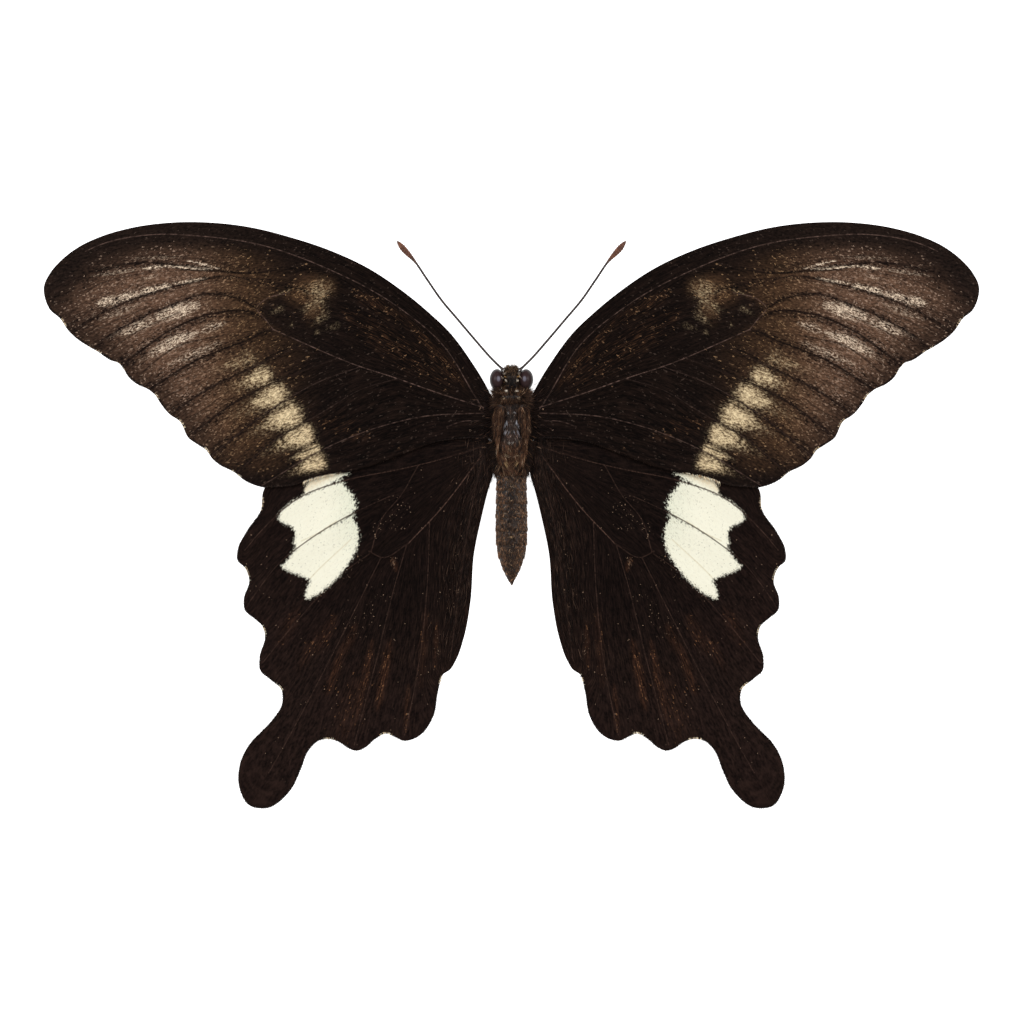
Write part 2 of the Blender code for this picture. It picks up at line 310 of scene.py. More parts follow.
# %% [markdown]
# ## The outlines
# These are the outlines that the solids were cut to, grown here by a few hundredths of a millimetre,
# because the scales reach just past the membrane. The forewing has corners where its front edge, its
# hind edge and its root meet. The hindwing is one round loop with scallops and a broad tail. A few
# places in the lists have names: the wing tip, and where the hindwing's front edge ends, its outer
# margin starts and its inner margin starts, counted from the end of the loop.

# %% Outlines of the wings
FORE_FRONT_AND_MARGIN = [
    (2.4, 14.9), (3.9, 17.7), (5.3, 19.9), (7.9, 23.4), (10.5, 25.9), (14.3, 29.0), (18.2, 31.6),
    (23.3, 34.0), (28.4, 35.7), (33.6, 37.0), (38.7, 37.6), (43.8, 37.6), (49.0, 36.9), (52.8, 35.8),
    (55.4, 34.6), (57.9, 32.7), (59.2, 31.2), (60.0, 29.4), (59.8, 27.8), (59.1, 26.4), (58.0, 25.5),
    (56.8, 23.8), (55.6, 22.7), (54.2, 21.8), (53.3, 21.3), (51.3, 20.0), (50.4, 19.7), (49.7, 18.9),
    (49.1, 17.9), (48.2, 17.1), (46.4, 16.2), (45.6, 15.5), (45.1, 14.7), (43.8, 13.1), (42.5, 12.2),
    (41.3, 10.0), (40.0, 9.1), (39.1, 8.5), (38.3, 7.4), (37.5, 6.7), (35.4, 5.6), (34.3, 4.7),
    (32.5, 3.9), (31.6, 3.7),
]
FORE_HIND_EDGE = [
    (31.6, 3.7), (28.4, 3.9), (24.6, 5.1), (20.3, 5.8), (15.0, 7.6), (9.2, 9.6), (5.3, 10.0), (2.5, 9.9),
]
FORE_ROOT = [(2.5, 9.9), (2.3, 12.4), (2.4, 14.9)]
HIND_LOOP = [
    (2.4, 9.4), (6.0, 12.2), (10.5, 14.3), (16.0, 14.6), (22.0, 12.6), (27.5, 8.8), (31.0, 4.6),
    (31.8, 3.2), (32.1, 0.8), (33.9, -1.9), (35.1, -4.4), (35.1, -5.7), (34.2, -6.6), (33.6, -8.3),
    (34.3, -10.6), (34.2, -12.0), (32.9, -13.2), (32.0, -14.0), (31.6, -15.3), (32.3, -18.2),
    (32.2, -19.8), (31.0, -20.9), (29.5, -22.3), (29.4, -24.0), (30.7, -26.2), (32.0, -27.6),
    (33.3, -28.9), (34.8, -31.7), (34.9, -35.0), (33.6, -37.2), (31.5, -37.5), (28.4, -35.2),
    (27.1, -32.6), (26.0, -30.0), (24.7, -28.8), (23.3, -28.6), (21.9, -29.1), (20.9, -29.8),
    (19.9, -30.1), (18.8, -29.7), (17.5, -28.6), (16.1, -27.9), (15.0, -28.3), (13.9, -28.8),
    (12.6, -28.6), (11.6, -28.0), (10.1, -25.8), (9.4, -22.3),
    (8.8, -20.3), (7.9, -19.7), (7.2, -18.6), (6.1, -15.5), (5.3, -11.2), (4.8, -4.7), (3.9, -0.3),
    (2.95, 3.5), (2.4, 5.3), (2.35, 7.0), (2.4, 9.4),
]
TIP_PLACE = 17
HIND_FRONT_PLACES = 9
HIND_MARGIN_PLACE = 7
HIND_INNER_PLACES = 10
OUTLINE_STEP = 0.22
FOREWING_GROWTH = 0.07
HINDWING_GROWTH = 0.02


def closed_outline(growth, *stretches):
    """One loop, clockwise on the +X side, from stretches that share their ends, moved outward."""
    loop = np.concatenate([smooth_through(stretch, OUTLINE_STEP)[:-1] for stretch in stretches])
    run = np.roll(loop, -1, axis=0) - np.roll(loop, 1, axis=0)
    run /= np.linalg.norm(run, axis=1)[:, None]
    return loop + growth * np.column_stack([-run[:, 1], run[:, 0]])


FORE_OUTLINE = closed_outline(FOREWING_GROWTH, FORE_FRONT_AND_MARGIN, FORE_HIND_EDGE, FORE_ROOT)
HIND_OUTLINE = closed_outline(HINDWING_GROWTH, HIND_LOOP)
print("outline points:", len(FORE_OUTLINE), len(HIND_OUTLINE))

# %% [markdown]
# ## The veins
# Veins are the tubes that hold a wing open, and between them the membrane is folded like a fan. On
# the black base they show as fine pale lines. On the pale outer half they show as dark lines,
# because the pale scales stop at them. Each vein here has its line and two strengths, for the pale
# line and for the dark one. A fold has one strength, for its painted shade, and its line stays flat.

# %% Veins of the forewing
FORE_STEM = [(3.6, 13.9), (9.8, 15.9), (14.6, 17.6), (20.1, 19.4), (26.5, 22.1), (30.5, 23.9)]
FORE_VEINS = {
    "radius": ([(3.6, 13.7), (4.4, 14.9), (8.8, 21.9), (15.0, 27.1), (23.8, 31.8), (32.7, 34.9),
                (39.7, 35.9), (46.4, 36.1), (52.9, 34.8), (54.7, 34.0)], 0.8, 0.2),
    "upper_branch": ([(23.8, 31.8), (28.7, 31.7), (33.6, 31.1), (40.0, 31.8), (47.7, 32.5),
                      (52.9, 31.7), (59.6, 28.9)], 0.0, 0.8),
    "lower_branch": ([(37.7, 30.7), (41.9, 29.8), (47.7, 28.1), (52.8, 25.9), (56.3, 23.7)], 0.0, 0.8),
    "upper_median": ([(32.7, 26.6), (34.2, 27.5), (39.7, 28.4), (43.2, 27.2), (47.0, 25.7),
                      (50.2, 24.0), (53.5, 21.7)], 0.0, 0.75),
    "middle_median": ([(31.8, 25.5), (33.6, 26.2), (37.5, 26.1), (44.1, 23.6), (47.4, 21.3),
                       (50.0, 19.3)], 0.0, 1.0),
    "lower_median": ([(30.5, 23.9), (34.8, 22.2), (40.7, 19.8), (46.3, 16.3)], 0.0, 1.0),
    "first_branch": ([(26.5, 22.1), (33.0, 19.1), (38.7, 16.4), (43.6, 13.2)], 0.15, 0.9),
    "second_branch": ([(22.0, 20.3), (28.2, 18.0), (34.8, 15.0), (40.9, 10.5)], 0.1, 1.0),
    "third_branch": ([(19.4, 19.1), (24.4, 17.3), (31.0, 13.5), (38.4, 7.8)], 0.3, 1.0),
    "long_fold": ([(14.6, 17.6), (19.3, 16.2), (24.2, 13.3), (30.5, 9.6), (35.2, 5.6)], 0.2, 1.0),
    "hind_edge": ([(3.6, 13.2), (11.6, 12.7), (17.6, 11.2), (23.8, 8.7), (32.0, 3.9)], 0.65, 0.8),
    "stem": (FORE_STEM, 1.0, 0.3),
    "cell_end": ([(28.4, 28.6), (31.5, 27.8), (32.7, 26.6), (31.8, 25.5), (30.5, 23.9)], 0.9, 0.0),
    "back_line": ([(3.9, 12.2), (6.4, 12.1), (8.3, 11.4)], 0.5, 0.0),
}
print("veins of the forewing:", ", ".join(FORE_VEINS))

# %% Folds of the forewing
# Painted shade: each fold and crease is drawn as a dark line on the pale scales, with its strength.
FORE_FOLDS = {
    "crease": ([(35.5, 31.2), (40.0, 31.5), (42.4, 31.6)], 0.9),
    "wrinkle_one": ([(34.0, 31.9), (40.4, 33.0), (47.0, 33.5)], 0.5),
    "wrinkle_two": ([(45.5, 31.4), (51.0, 30.4), (56.0, 28.4)], 0.5),
    "fold_one": ([(46.4, 26.9), (50.2, 25.4), (55.3, 22.8)], 0.6),
    "fold_two": ([(42.5, 26.2), (49.0, 23.1), (51.8, 20.9)], 0.6),
    "fold_three": ([(37.5, 23.1), (42.8, 21.8), (48.4, 17.6)], 0.75),
    "fold_four": ([(40.0, 17.4), (45.1, 14.9)], 0.6),
    "fold_five": ([(38.0, 14.7), (42.0, 11.8)], 0.6),
    "fold_six": ([(34.5, 11.7), (39.0, 8.1)], 0.6),
    "fold_seven": ([(23.6, 9.4), (27.6, 7.9), (32.0, 6.6), (35.0, 5.2)], 0.9),
}

# %% Veins and folds of the hindwing
HIND_STEM = [(3.8, 7.8), (8.8, 1.2), (13.2, -3.5), (16.6, -5.3), (18.3, -4.5)]
HIND_VEINS = {
    "front": ([(3.7, 8.9), (9.6, 7.1), (14.3, 6.0), (21.5, 4.5), (27.1, 2.4), (32.0, -1.8),
               (34.2, -4.4)], 0.45, 1.0),
    "cell_front": ([(12.0, 6.4), (14.2, 2.6), (16.6, -0.3), (18.0, -4.6)], 0.35, 0.0),
    "patch_vein": ([(15.0, 2.8), (20.2, 0.4), (25.9, -3.0), (29.7, -6.0), (33.9, -11.4)], 0.3, 1.0),
    "inner_edge": ([(18.0, -4.7), (22.0, -7.6), (27.1, -13.0), (32.0, -18.9)], 0.3, 0.0),
    "tail": ([(16.7, -5.3), (20.7, -13.3), (24.8, -21.3), (29.7, -30.4), (31.2, -33.0)], 0.35, 0.0),
    "lower_one": ([(13.4, -3.6), (15.2, -9.8), (17.0, -17.2), (20.2, -29.4)], 0.35, 0.0),
    "lower_two": ([(10.5, -0.9), (10.8, -8.9), (12.0, -19.8), (13.7, -28.1)], 0.35, 0.0),
    "inner_margin": ([(3.5, 8.2), (5.3, 0.1), (6.7, -9.5), (7.9, -18.5)], 0.3, 0.0),
    "stem": (HIND_STEM[:3], 1.0, 0.0),
    "cell_end": (HIND_STEM[2:], 0.35, 0.0),
}
print("veins of the hindwing:", ", ".join(HIND_VEINS))
# Painted shade: the folds of the hindwing are faint darker lines in the cream patch.
HIND_FOLDS = {
    "patch_fold_one": ([(22.4, -0.6), (24.6, -2.1), (26.9, -3.2)], 0.4),
    "patch_fold_two": ([(20.6, -3.0), (26.0, -8.2), (31.6, -15.9)], 0.5),
    "inner_fold": ([(7.3, 2.1), (8.8, -5.6), (9.2, -9.5), (9.6, -20.0)], 0.5),
}

# %% [markdown]
# ## The fan of rays
# Scales on a wing stand in rows that run out from the root between the veins. To paint along those
# rows, every point needs to know between which two rays it lies, and how far across. So each vein is
# carried back to the root, and a point's fan number is the number of rays before it plus its share
# of the way to the next. Noise that is stretched along the rays then gives streaks that follow them.

# %% Rays of both wings, in order from the front edge
FORE_CENTRE = (3.5, 13.9)
FORE_RAYS = [
    FORE_VEINS["radius"][0],
    [FORE_CENTRE, (9.5, 21.6), (15.6, 26.3), *FORE_VEINS["upper_branch"][0]],
    [FORE_CENTRE, (9.5, 20.3), (18.0, 25.9), (28.4, 29.4), *FORE_VEINS["lower_branch"][0]],
    [FORE_CENTRE, (11.0, 19.0), (21.0, 24.0), *FORE_VEINS["upper_median"][0]],
    [FORE_CENTRE, (12.0, 17.9), (21.5, 21.9), *FORE_VEINS["middle_median"][0]],
    [*FORE_STEM[:-1], *FORE_VEINS["lower_median"][0]],
    [*FORE_STEM[:4], *FORE_VEINS["first_branch"][0]],
    [*FORE_STEM[:3], (18.3, 18.75), *FORE_VEINS["second_branch"][0]],
    [*FORE_STEM[:3], *FORE_VEINS["third_branch"][0]],
    [FORE_CENTRE, (9.8, 15.5), *FORE_VEINS["long_fold"][0]],
    FORE_VEINS["hind_edge"][0],
]
HIND_CENTRE = (3.4, 8.3)
HIND_RAYS = [
    HIND_VEINS["front"][0],
    [HIND_CENTRE, (9.0, 5.6), *HIND_VEINS["patch_vein"][0]],
    [HIND_CENTRE, (9.6, 3.2), (14.6, -1.4), *HIND_VEINS["inner_edge"][0]],
    [*HIND_STEM[:3], *HIND_VEINS["tail"][0]],
    [*HIND_STEM[:2], *HIND_VEINS["lower_one"][0]],
    [HIND_STEM[0], (8.0, 2.3), *HIND_VEINS["lower_two"][0]],
    [HIND_CENTRE, *HIND_FOLDS["inner_fold"][0]],
    HIND_VEINS["inner_margin"][0],
]
RAY_STEP = 0.6
FAR = 300.0
TINY_GAP = 1e-6


def fan_number(points, rays, front, back):
    """How many rays lie before each point, plus its share of the way to the next one."""
    paths = [smooth_through(ray, RAY_STEP) for ray in rays]
    count = np.zeros(len(points), int)
    for path in paths:
        beyond = path[-1] + (path[-1] - path[-2]) * FAR / RAY_STEP
        front_side = np.concatenate([path, [beyond, (FAR, -FAR), (FAR, FAR), (-FAR, FAR),
                                            (-FAR, path[0][1])]])
        count += ~inside(points, front_side)
    away = np.stack([distance_to(points, path) for path in [front, *paths, back]])
    every = np.arange(len(points))
    before, after = away[count, every], away[count + 1, every]
    return count + before / np.maximum(before + after, TINY_GAP), before + after


# %% [markdown]
# ## One wing as a mesh
# A wing could be a flat card with a picture on it, but it would show no fold or vein from the side.
# Here the outline is filled with small triangles whose edges run along the veins. Then every point is
# lifted: by the arch of the whole wing, by the fan of pleats, and by the ribs of the veins. An upper
# and a lower sheet, a tenth of a millimetre apart, are closed by a rim.

# %% Triangles that follow the veins
GRID_STEP = 0.28
CREASE_STEP = 0.24
CREASE_CLEAR = 0.19
CREASE_HALF = 0.11
FLANK_CLEAR = 0.8 * CREASE_HALF
MERGE_GAP = 1e-5
EDGE_CLEAR = 0.13
GRID_JITTER = 0.06


def fill_outline(outline, creases):
    """Points and triangles inside an outline, with an edge along every crease."""
    loop = np.vstack([outline, outline[:1]])
    paths = []
    flanks = []
    for crease in creases:
        path = smooth_through(crease, CREASE_STEP)
        path = path[inside(path, outline) & (distance_to(path, loop) > EDGE_CLEAR)]
        run = np.gradient(path, axis=0)
        normal = np.stack([-run[:, 1], run[:, 0]], axis=1) / np.linalg.norm(run, axis=1)[:, None]
        paths.append(path)
        flanks += [path + CREASE_HALF * normal, path - CREASE_HALF * normal]
    low, high = outline.min(axis=0), outline.max(axis=0)
    rows = np.arange(low[1], high[1], GRID_STEP * math.sqrt(0.75))
    columns = np.arange(low[0], high[0], GRID_STEP)
    grid = np.array([(x + GRID_STEP / 2 * (number % 2), y)
                     for number, y in enumerate(rows) for x in columns])
    grid += chance.uniform(-GRID_JITTER, GRID_JITTER, grid.shape)
    grid = grid[inside(grid, outline)]
    grid = grid[distance_to(grid, loop) > EDGE_CLEAR]
    flank = np.concatenate(flanks)
    flank = flank[inside(flank, outline)]
    flank = flank[distance_to(flank, loop) > EDGE_CLEAR]
    for path in paths:
        grid = grid[distance_to(grid, path) > CREASE_CLEAR]
        flank = flank[distance_to(flank, path) > FLANK_CLEAR]
    edges = []
    points = [outline]
    start = len(outline)
    for path in paths:
        edges += [(start + place, start + place + 1) for place in range(len(path) - 1)]
        points.append(path)
        start += len(path)
    everything = np.concatenate([*points, flank, grid])
    filled = delaunay_2d_cdt([Vector(point) for point in everything], edges,
                             [list(range(len(outline)))], 1, MERGE_GAP, False)
    flat, triangles = np.array([tuple(point) for point in filled[0]]), np.array(filled[2])
    return flat, triangles[inside(flat[triangles].mean(axis=1), outline)]


# %% Heights of the sheets
SHOULDER_HEIGHT = 4.72
ARCH_CREST_Y = 5.0
ARCH_ACROSS = 0.00099
ARCH_ALONG = 0.00157
HINDWING_DROP = 0.6
PLEAT_HEIGHT = 0.11
PLEAT_FULL_WIDTH = 4.5
RIB_HEIGHT = 0.06
RIB_WIDTH = 0.11
RIB_BELOW = 0.7
HALF_THICKNESS = 0.05
THIN_EDGE = 0.012
THIN_EDGE_WIDTH = 0.4
CALM_EDGE_WIDTH = 1.2
CALM_ROOT = (1.0, 9.0)


def arch(flat, drop):
    """Height of the middle of a wing, highest over the shoulders."""
    return (SHOULDER_HEIGHT - drop - ARCH_ACROSS * flat[:, 0] ** 2
            - ARCH_ALONG * (flat[:, 1] - ARCH_CREST_Y) ** 2)


def plan_wing(outline, veins, folds, rays, front, back, drop):
    """What the left and right wing share: flat points, triangles, heights and painted numbers."""
    lines = [line for line, *strengths in veins.values()] + [line for line, *strengths in folds.values()]
    flat, triangles = fill_outline(outline, lines)
    used, triangles = np.unique(triangles, return_inverse=True)
    flat, triangles = flat[used], triangles.reshape(-1, 3)
    edge = distance_to(flat, np.vstack([outline, outline[:1]]))
    vein_gap = np.stack([distance_to(flat, smooth_through(line, RAY_STEP / 2))
                         for line, pale, dark in veins.values()])
    nearest = vein_gap.argmin(axis=0)
    fold_gap = np.stack([distance_to(flat, smooth_through(line, RAY_STEP / 2))
                         for line, strength in folds.values()])
    nearest_fold = fold_gap.argmin(axis=0)
    fan, room = fan_number(flat, rays, front, back)
    reach = np.linalg.norm(flat - np.array(rays[0][0]), axis=1)
    pleat = PLEAT_HEIGHT * np.clip(room / PLEAT_FULL_WIDTH, 0.0, 1.0) * np.cos(2 * math.pi * fan)
    pleat *= rise(edge, 0.0, CALM_EDGE_WIDTH) * 0.6 + 0.4
    rib = RIB_HEIGHT * np.exp(-(vein_gap.min(axis=0) / RIB_WIDTH) ** 2)
    thickness = THIN_EDGE + (HALF_THICKNESS - THIN_EDGE) * rise(edge, 0.0, THIN_EDGE_WIDTH)
    crest = arch(flat, drop) + pleat * rise(reach, *CALM_ROOT)
    numbers = {
        "outward": flat[:, 0], "along": flat[:, 1], "fan": fan, "reach": reach, "edge": edge,
        "vein": np.minimum(vein_gap.min(axis=0), 1.0),
        "vein_pale": np.array([pale for line, pale, dark in veins.values()])[nearest],
        "vein_dark": np.array([dark for line, pale, dark in veins.values()])[nearest],
        "fold": np.minimum(fold_gap.min(axis=0), 1.0),
        "fold_shade_strength": np.array([strength for line, strength in folds.values()])[nearest_fold],
    }
    return {"flat": flat, "triangles": triangles, "upper": crest + thickness + rib,
            "lower": crest - thickness - rib * RIB_BELOW, "numbers": numbers}


# %% Meshes from rows of points
def mesh_from(name, points, faces, numbers=None, colours=None):
    """A mesh from points in mm, with named numbers and colours at its points."""
    mesh = bpy.data.meshes.new(name)
    mesh.from_pydata((np.asarray(points) * MM).tolist(), [], faces)
    for label, values in (numbers or {}).items():
        layer = mesh.attributes.new(label, "FLOAT", "POINT")
        layer.data.foreach_set("value", np.asarray(values, np.float32))
    for label, values in (colours or {}).items():
        layer = mesh.attributes.new(label, "FLOAT_COLOR", "POINT")
        layer.data.foreach_set("color", np.asarray(values, np.float32).ravel())
    mesh.shade_smooth()
    return mesh


def add_piece(name, mesh, finish, slot, *nodes):
    """Put a mesh in the scene as a piece of the specimen that stands for the given solids."""
    mesh.materials.append(finish.material)
    piece = bpy.data.objects.new(name, mesh)
    bpy.context.scene.collection.objects.link(piece)
    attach(piece, "root")
    if nodes:
        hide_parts(*nodes)
    triangles = sum(len(face.vertices) - 2 for face in mesh.polygons)
    print(f"{name}: {triangles} triangles")
    return piece


def add_shape(name, shape, finish, slot, node, numbers=None):
    """Add a piece from its points and faces, in the place of one solid."""
    return add_piece(name, mesh_from(name, *shape, numbers), finish, slot, node)


def wing_mesh(name, plan, side):
    """The upper and lower sheets of a wing, closed by a rim."""
    flat, triangles = plan["flat"], plan["triangles"]
    count = len(flat)
    upper = np.column_stack([side * flat[:, 0], flat[:, 1], plan["upper"]])
    lower = np.column_stack([side * flat[:, 0], flat[:, 1], plan["lower"]])
    corners = np.concatenate([triangles[:, [0, 1]], triangles[:, [1, 2]], triangles[:, [2, 0]]])
    known = {tuple(pair) for pair in corners.tolist()}
    rim = [(first, second) for first, second in known if (second, first) not in known]
    rim.sort()
    faces = [tuple(face) for face in triangles.tolist()]
    faces += [(c + count, b + count, a + count) for a, b, c in triangles.tolist()]
    faces += [(second, first, first + count, second + count) for first, second in rim]
    if side < 0:
        faces = [face[::-1] for face in faces]
    numbers = {label: np.tile(values, 2) for label, values in plan["numbers"].items()}
    numbers["under"] = np.repeat([0.0, 1.0], count)
    return mesh_from(name, np.concatenate([upper, lower]), faces, numbers)


# %% Plans of both pairs of wings
fore_front = smooth_through(FORE_FRONT_AND_MARGIN[:TIP_PLACE], RAY_STEP)
fore_back = smooth_through(FORE_HIND_EDGE, RAY_STEP)
fore_plan = plan_wing(FORE_OUTLINE, FORE_VEINS, FORE_FOLDS, FORE_RAYS, fore_front, fore_back, 0.0)
hind_front = smooth_through(HIND_LOOP[:HIND_FRONT_PLACES], RAY_STEP)
hind_back = smooth_through(HIND_LOOP[-HIND_INNER_PLACES:], RAY_STEP)
hind_plan = plan_wing(HIND_OUTLINE, HIND_VEINS, HIND_FOLDS, HIND_RAYS, hind_front, hind_back,
                      HINDWING_DROP)
for word, plan in (("forewing", fore_plan), ("hindwing", hind_plan)):
    print(word, "points:", len(plan["flat"]), "triangles on one side:", len(plan["triangles"]))

# %% [markdown]
# ## Where the paint goes
# The pattern is drawn as an entomologist would sketch it: soft dabs along the rays for the dusted
# bands, and closed outlines for the cream patch. Each dab says how dense a kind of scale is at a place,
# except the sheen dabs, which say where a painted sheen lies near the wing tip. The shader later
# breaks that density up with a grain as fine as the scales, so the edges stay ragged at the right size.

# %% Densities on the forewing
TAN_DABS = [
    ((33.8, 20.2), (38.4, 18.4), 1.3, 0.34), ((31.8, 18.0), (34.6, 16.8), 1.3, 0.76),
    ((32.0, 17.9), (37.4, 15.6), 1.5, 0.36), ((30.2, 15.5), (33.4, 14.1), 1.55, 0.94),
    ((30.8, 15.1), (36.6, 12.6), 1.6, 0.38), ((28.4, 12.9), (31.6, 11.5), 1.6, 1.02),
    ((28.8, 12.7), (34.4, 10.0), 1.6, 0.4), ((26.7, 10.4), (29.9, 9.0), 1.45, 1.0),
    ((27.0, 10.2), (32.4, 7.6), 1.45, 0.38), ((25.2, 8.5), (28.6, 7.1), 0.8, 0.96),
    ((24.9, 6.9), (27.6, 5.8), 1.15, 0.96), ((25.2, 6.7), (29.8, 5.0), 1.1, 0.34),
    ((24.2, 29.1), (27.0, 29.0), 1.3, 0.38), ((24.9, 27.4), (26.6, 26.4), 1.2, 0.33),
    ((24.0, 25.8), (25.6, 24.4), 0.8, 0.28), ((24.8, 23.6), (25.3, 23.2), 0.3, 0.3),
    ((22.4, 24.4), (24.2, 23.7), 0.5, 0.24), ((29.6, 26.5), (31.6, 25.7), 0.5, 0.3),
    ((28.4, 29.0), (31.0, 27.9), 0.25, 0.34), ((28.1, 24.6), (28.7, 24.1), 0.3, 0.26),
]
# Painted sheen: pale streaks near the wing tip, where light glints off the scales.
PAINTED_SHEEN_DABS = [
    ((53.0, 27.3), (50.4, 27.8), 0.7, 0.72), ((50.8, 27.8), (47.6, 28.6), 0.6, 0.62),
    ((47.8, 28.6), (44.9, 29.4), 0.42, 0.8), ((44.9, 29.4), (43.9, 29.5), 0.4, 1.0),
    ((43.9, 29.7), (38.9, 30.5), 0.22, 0.8), ((54.2, 30.8), (47.4, 31.7), 0.3, 0.4),
    ((47.4, 31.7), (44.5, 32.1), 0.28, 0.75), ((44.5, 32.1), (38.4, 31.6), 0.2, 1.1),
    ((42.0, 32.9), (37.0, 31.6), 0.16, 0.8), ((50.0, 33.0), (41.0, 33.3), 0.4, 0.26),
    ((45.4, 25.5), (40.3, 27.0), 1.0, 0.7), ((44.2, 26.0), (41.8, 26.6), 0.75, 0.95),
    ((50.0, 23.4), (45.4, 25.3), 0.85, 0.5), ((48.4, 30.2), (45.0, 30.9), 0.3, 0.35),
    ((46.2, 21.0), (40.4, 23.5), 0.8, 0.66), ((44.0, 22.0), (41.6, 23.1), 0.65, 0.95),
    ((40.0, 23.6), (36.8, 24.8), 0.7, 0.42), ((44.0, 19.4), (37.0, 22.4), 0.8, 0.36),
    ((53.0, 25.2), (47.5, 27.2), 0.7, 0.32), ((52.0, 22.8), (47.0, 25.0), 0.6, 0.3),
    ((48.0, 19.9), (43.0, 21.6), 0.6, 0.3),
]
FORE_RUST_DABS = [
    ((6.0, 16.6), (13.0, 24.6), 0.8, 0.9), ((13.0, 24.6), (20.0, 28.6), 0.8, 0.6),
    ((8.0, 16.6), (21.0, 26.0), 1.6, 0.45), ((19.0, 10.6), (24.5, 12.2), 1.2, 0.4),
    ((14.1, 8.5), (15.0, 8.9), 0.28, 1.2),
]
SMUDGE_DABS = [((24.2, 29.2), (27.4, 28.6), 1.7, 0.95), ((25.0, 27.4), (25.6, 25.6), 1.1, 0.6)]
CELL_OUTLINE = [(31.1, 24.2), (32.3, 25.6), (32.5, 26.8), (31.4, 28.0), (28.6, 28.9), (26.5, 31.5),
                (21.0, 29.0), (14.0, 22.0), (8.0, 15.5), (14.6, 17.4), (20.1, 19.2), (26.5, 21.9),
                (31.1, 24.2)]
flat = fore_plan["flat"]
front_gap = distance_to(flat, fore_front)
numbers = fore_plan["numbers"]
brown = rise(flat[:, 0], 23.5, 44.0) * rise(front_gap, 1.4, 6.5)
brown *= 0.35 + 0.65 * rise(numbers["edge"], 0.3, 4.5)
brown *= rise(flat[:, 1] - 0.1 * flat[:, 0], 1.2, 3.6)
cell = np.array(CELL_OUTLINE)
in_cell = np.where(inside(flat, cell[:-1]), rise(distance_to(flat, cell), 0.0, 0.6), 0.0)
brown *= (1.0 - 0.88 * in_cell) * (1.0 - 0.3 * rise(flat[:, 0], 44.0, 56.0))
brown = np.maximum(brown, dabs(flat, SMUDGE_DABS))
numbers["brown"] = brown
numbers["golden"] = 1.0 - rise(flat[:, 0], 33.0, 43.0)
numbers["tan"] = dabs(flat, TAN_DABS, 2.4, 1.25, False)
numbers["silk"] = dabs(flat, PAINTED_SHEEN_DABS)
numbers["rust"] = dabs(flat, FORE_RUST_DABS)
for label in ("brown", "tan", "silk"):
    print(label, "on the forewing, mean density:", round(float(numbers[label].mean()), 3))

# %% Densities on the hindwing
PATCH_OUTLINES = {
    "streak": [(26.8, 2.4), (26.7, 3.4), (26.0, 4.8), (24.0, 6.5), (21.8, 6.5), (20.5, 5.9),
               (21.2, 5.1), (22.7, 4.1), (25.2, 2.9), (26.8, 2.4)],
    "upper": [(21.6, 4.7), (23.9, 4.0), (26.2, 3.0), (28.4, 1.9), (29.7, 0.6), (30.1, -0.4),
              (29.5, -1.0), (28.3, -1.6), (27.9, -2.4), (28.1, -3.2), (27.7, -4.4), (24.7, -2.6),
              (21.9, -1.0), (20.1, 0.2), (19.7, 1.3), (20.1, 2.6), (21.0, 3.8), (21.6, 4.7)],
    "lower": [(20.4, 0.3), (22.4, -0.7), (25.1, -2.1), (27.5, -3.7), (28.8, -5.4), (29.6, -6.6),
              (28.6, -7.3), (27.0, -7.9), (26.1, -8.4), (26.6, -9.6), (26.4, -10.8), (25.1, -10.4),
              (23.4, -9.2), (21.0, -6.6), (20.0, -5.0), (19.4, -3.0), (19.6, -1.2), (20.4, 0.3)],
}
HIND_RUST_DABS = [
    ((22.8, -13.0), (25.0, -17.5), 0.7, 0.4), ((25.0, -15.0), (27.4, -20.0), 0.6, 0.3),
    ((21.5, -16.4), (23.6, -22.8), 0.5, 0.7), ((20.0, -14.0), (21.3, -17.6), 0.5, 0.5),
    ((17.8, -16.0), (20.0, -26.4), 0.45, 0.75), ((15.5, -16.0), (17.2, -24.8), 0.5, 0.9),
    ((13.2, -21.6), (13.6, -27.5), 0.35, 0.5), ((9.6, -13.6), (9.8, -19.5), 0.3, 0.5),
    ((11.0, -12.0), (11.6, -22.0), 0.5, 0.3), ((15.3, -5.4), (14.7, -7.0), 0.3, 0.9),
    ((27.5, -12.0), (29.5, -16.0), 0.8, 0.3), ((19.0, -20.0), (22.0, -29.0), 1.6, 0.25),
]
HIND_SPECK_DABS = [
    ((13.2, 2.4), (17.4, -3.0), 1.8, 0.02), ((18.6, -4.4), (25.0, -11.0), 0.7, 0.03),
    ((6.6, -9.6), (6.8, -9.9), 0.25, 0.4), ((15.3, -5.6), (15.1, -6.4), 0.25, 0.45),
    ((16.0, -9.0), (21.0, -16.0), 1.5, 0.014), ((9.4, -14.0), (9.5, -19.0), 0.3, 0.06),
    ((6.5, -1.0), (8.0, -12.0), 0.6, 0.02),
]
SPECK_EVERYWHERE = 0.0012
flat = hind_plan["flat"]
numbers = hind_plan["numbers"]
cream = np.full(len(flat), -1.0)
for line in PATCH_OUTLINES.values():
    loop = smooth_through(line, OUTLINE_STEP)
    away = distance_to(flat, loop)
    cream = np.maximum(cream, np.where(inside(flat, loop[:-1]), away, -away))
numbers["cream"] = np.clip(cream, -1.0, 1.0)
numbers["rust"] = dabs(flat, HIND_RUST_DABS)
numbers["speck"] = dabs(flat, HIND_SPECK_DABS) + SPECK_EVERYWHERE
numbers["streaked"] = rise(-distance_to(flat, hind_back), -9.0, -0.5)
numbers["dusty"] = rise(-flat[:, 0], -24.5, -19.0) * rise(flat[:, 1], -9.0, 2.0)
print("cream share of the hindwing:", round(float((cream > 0).mean()), 3))
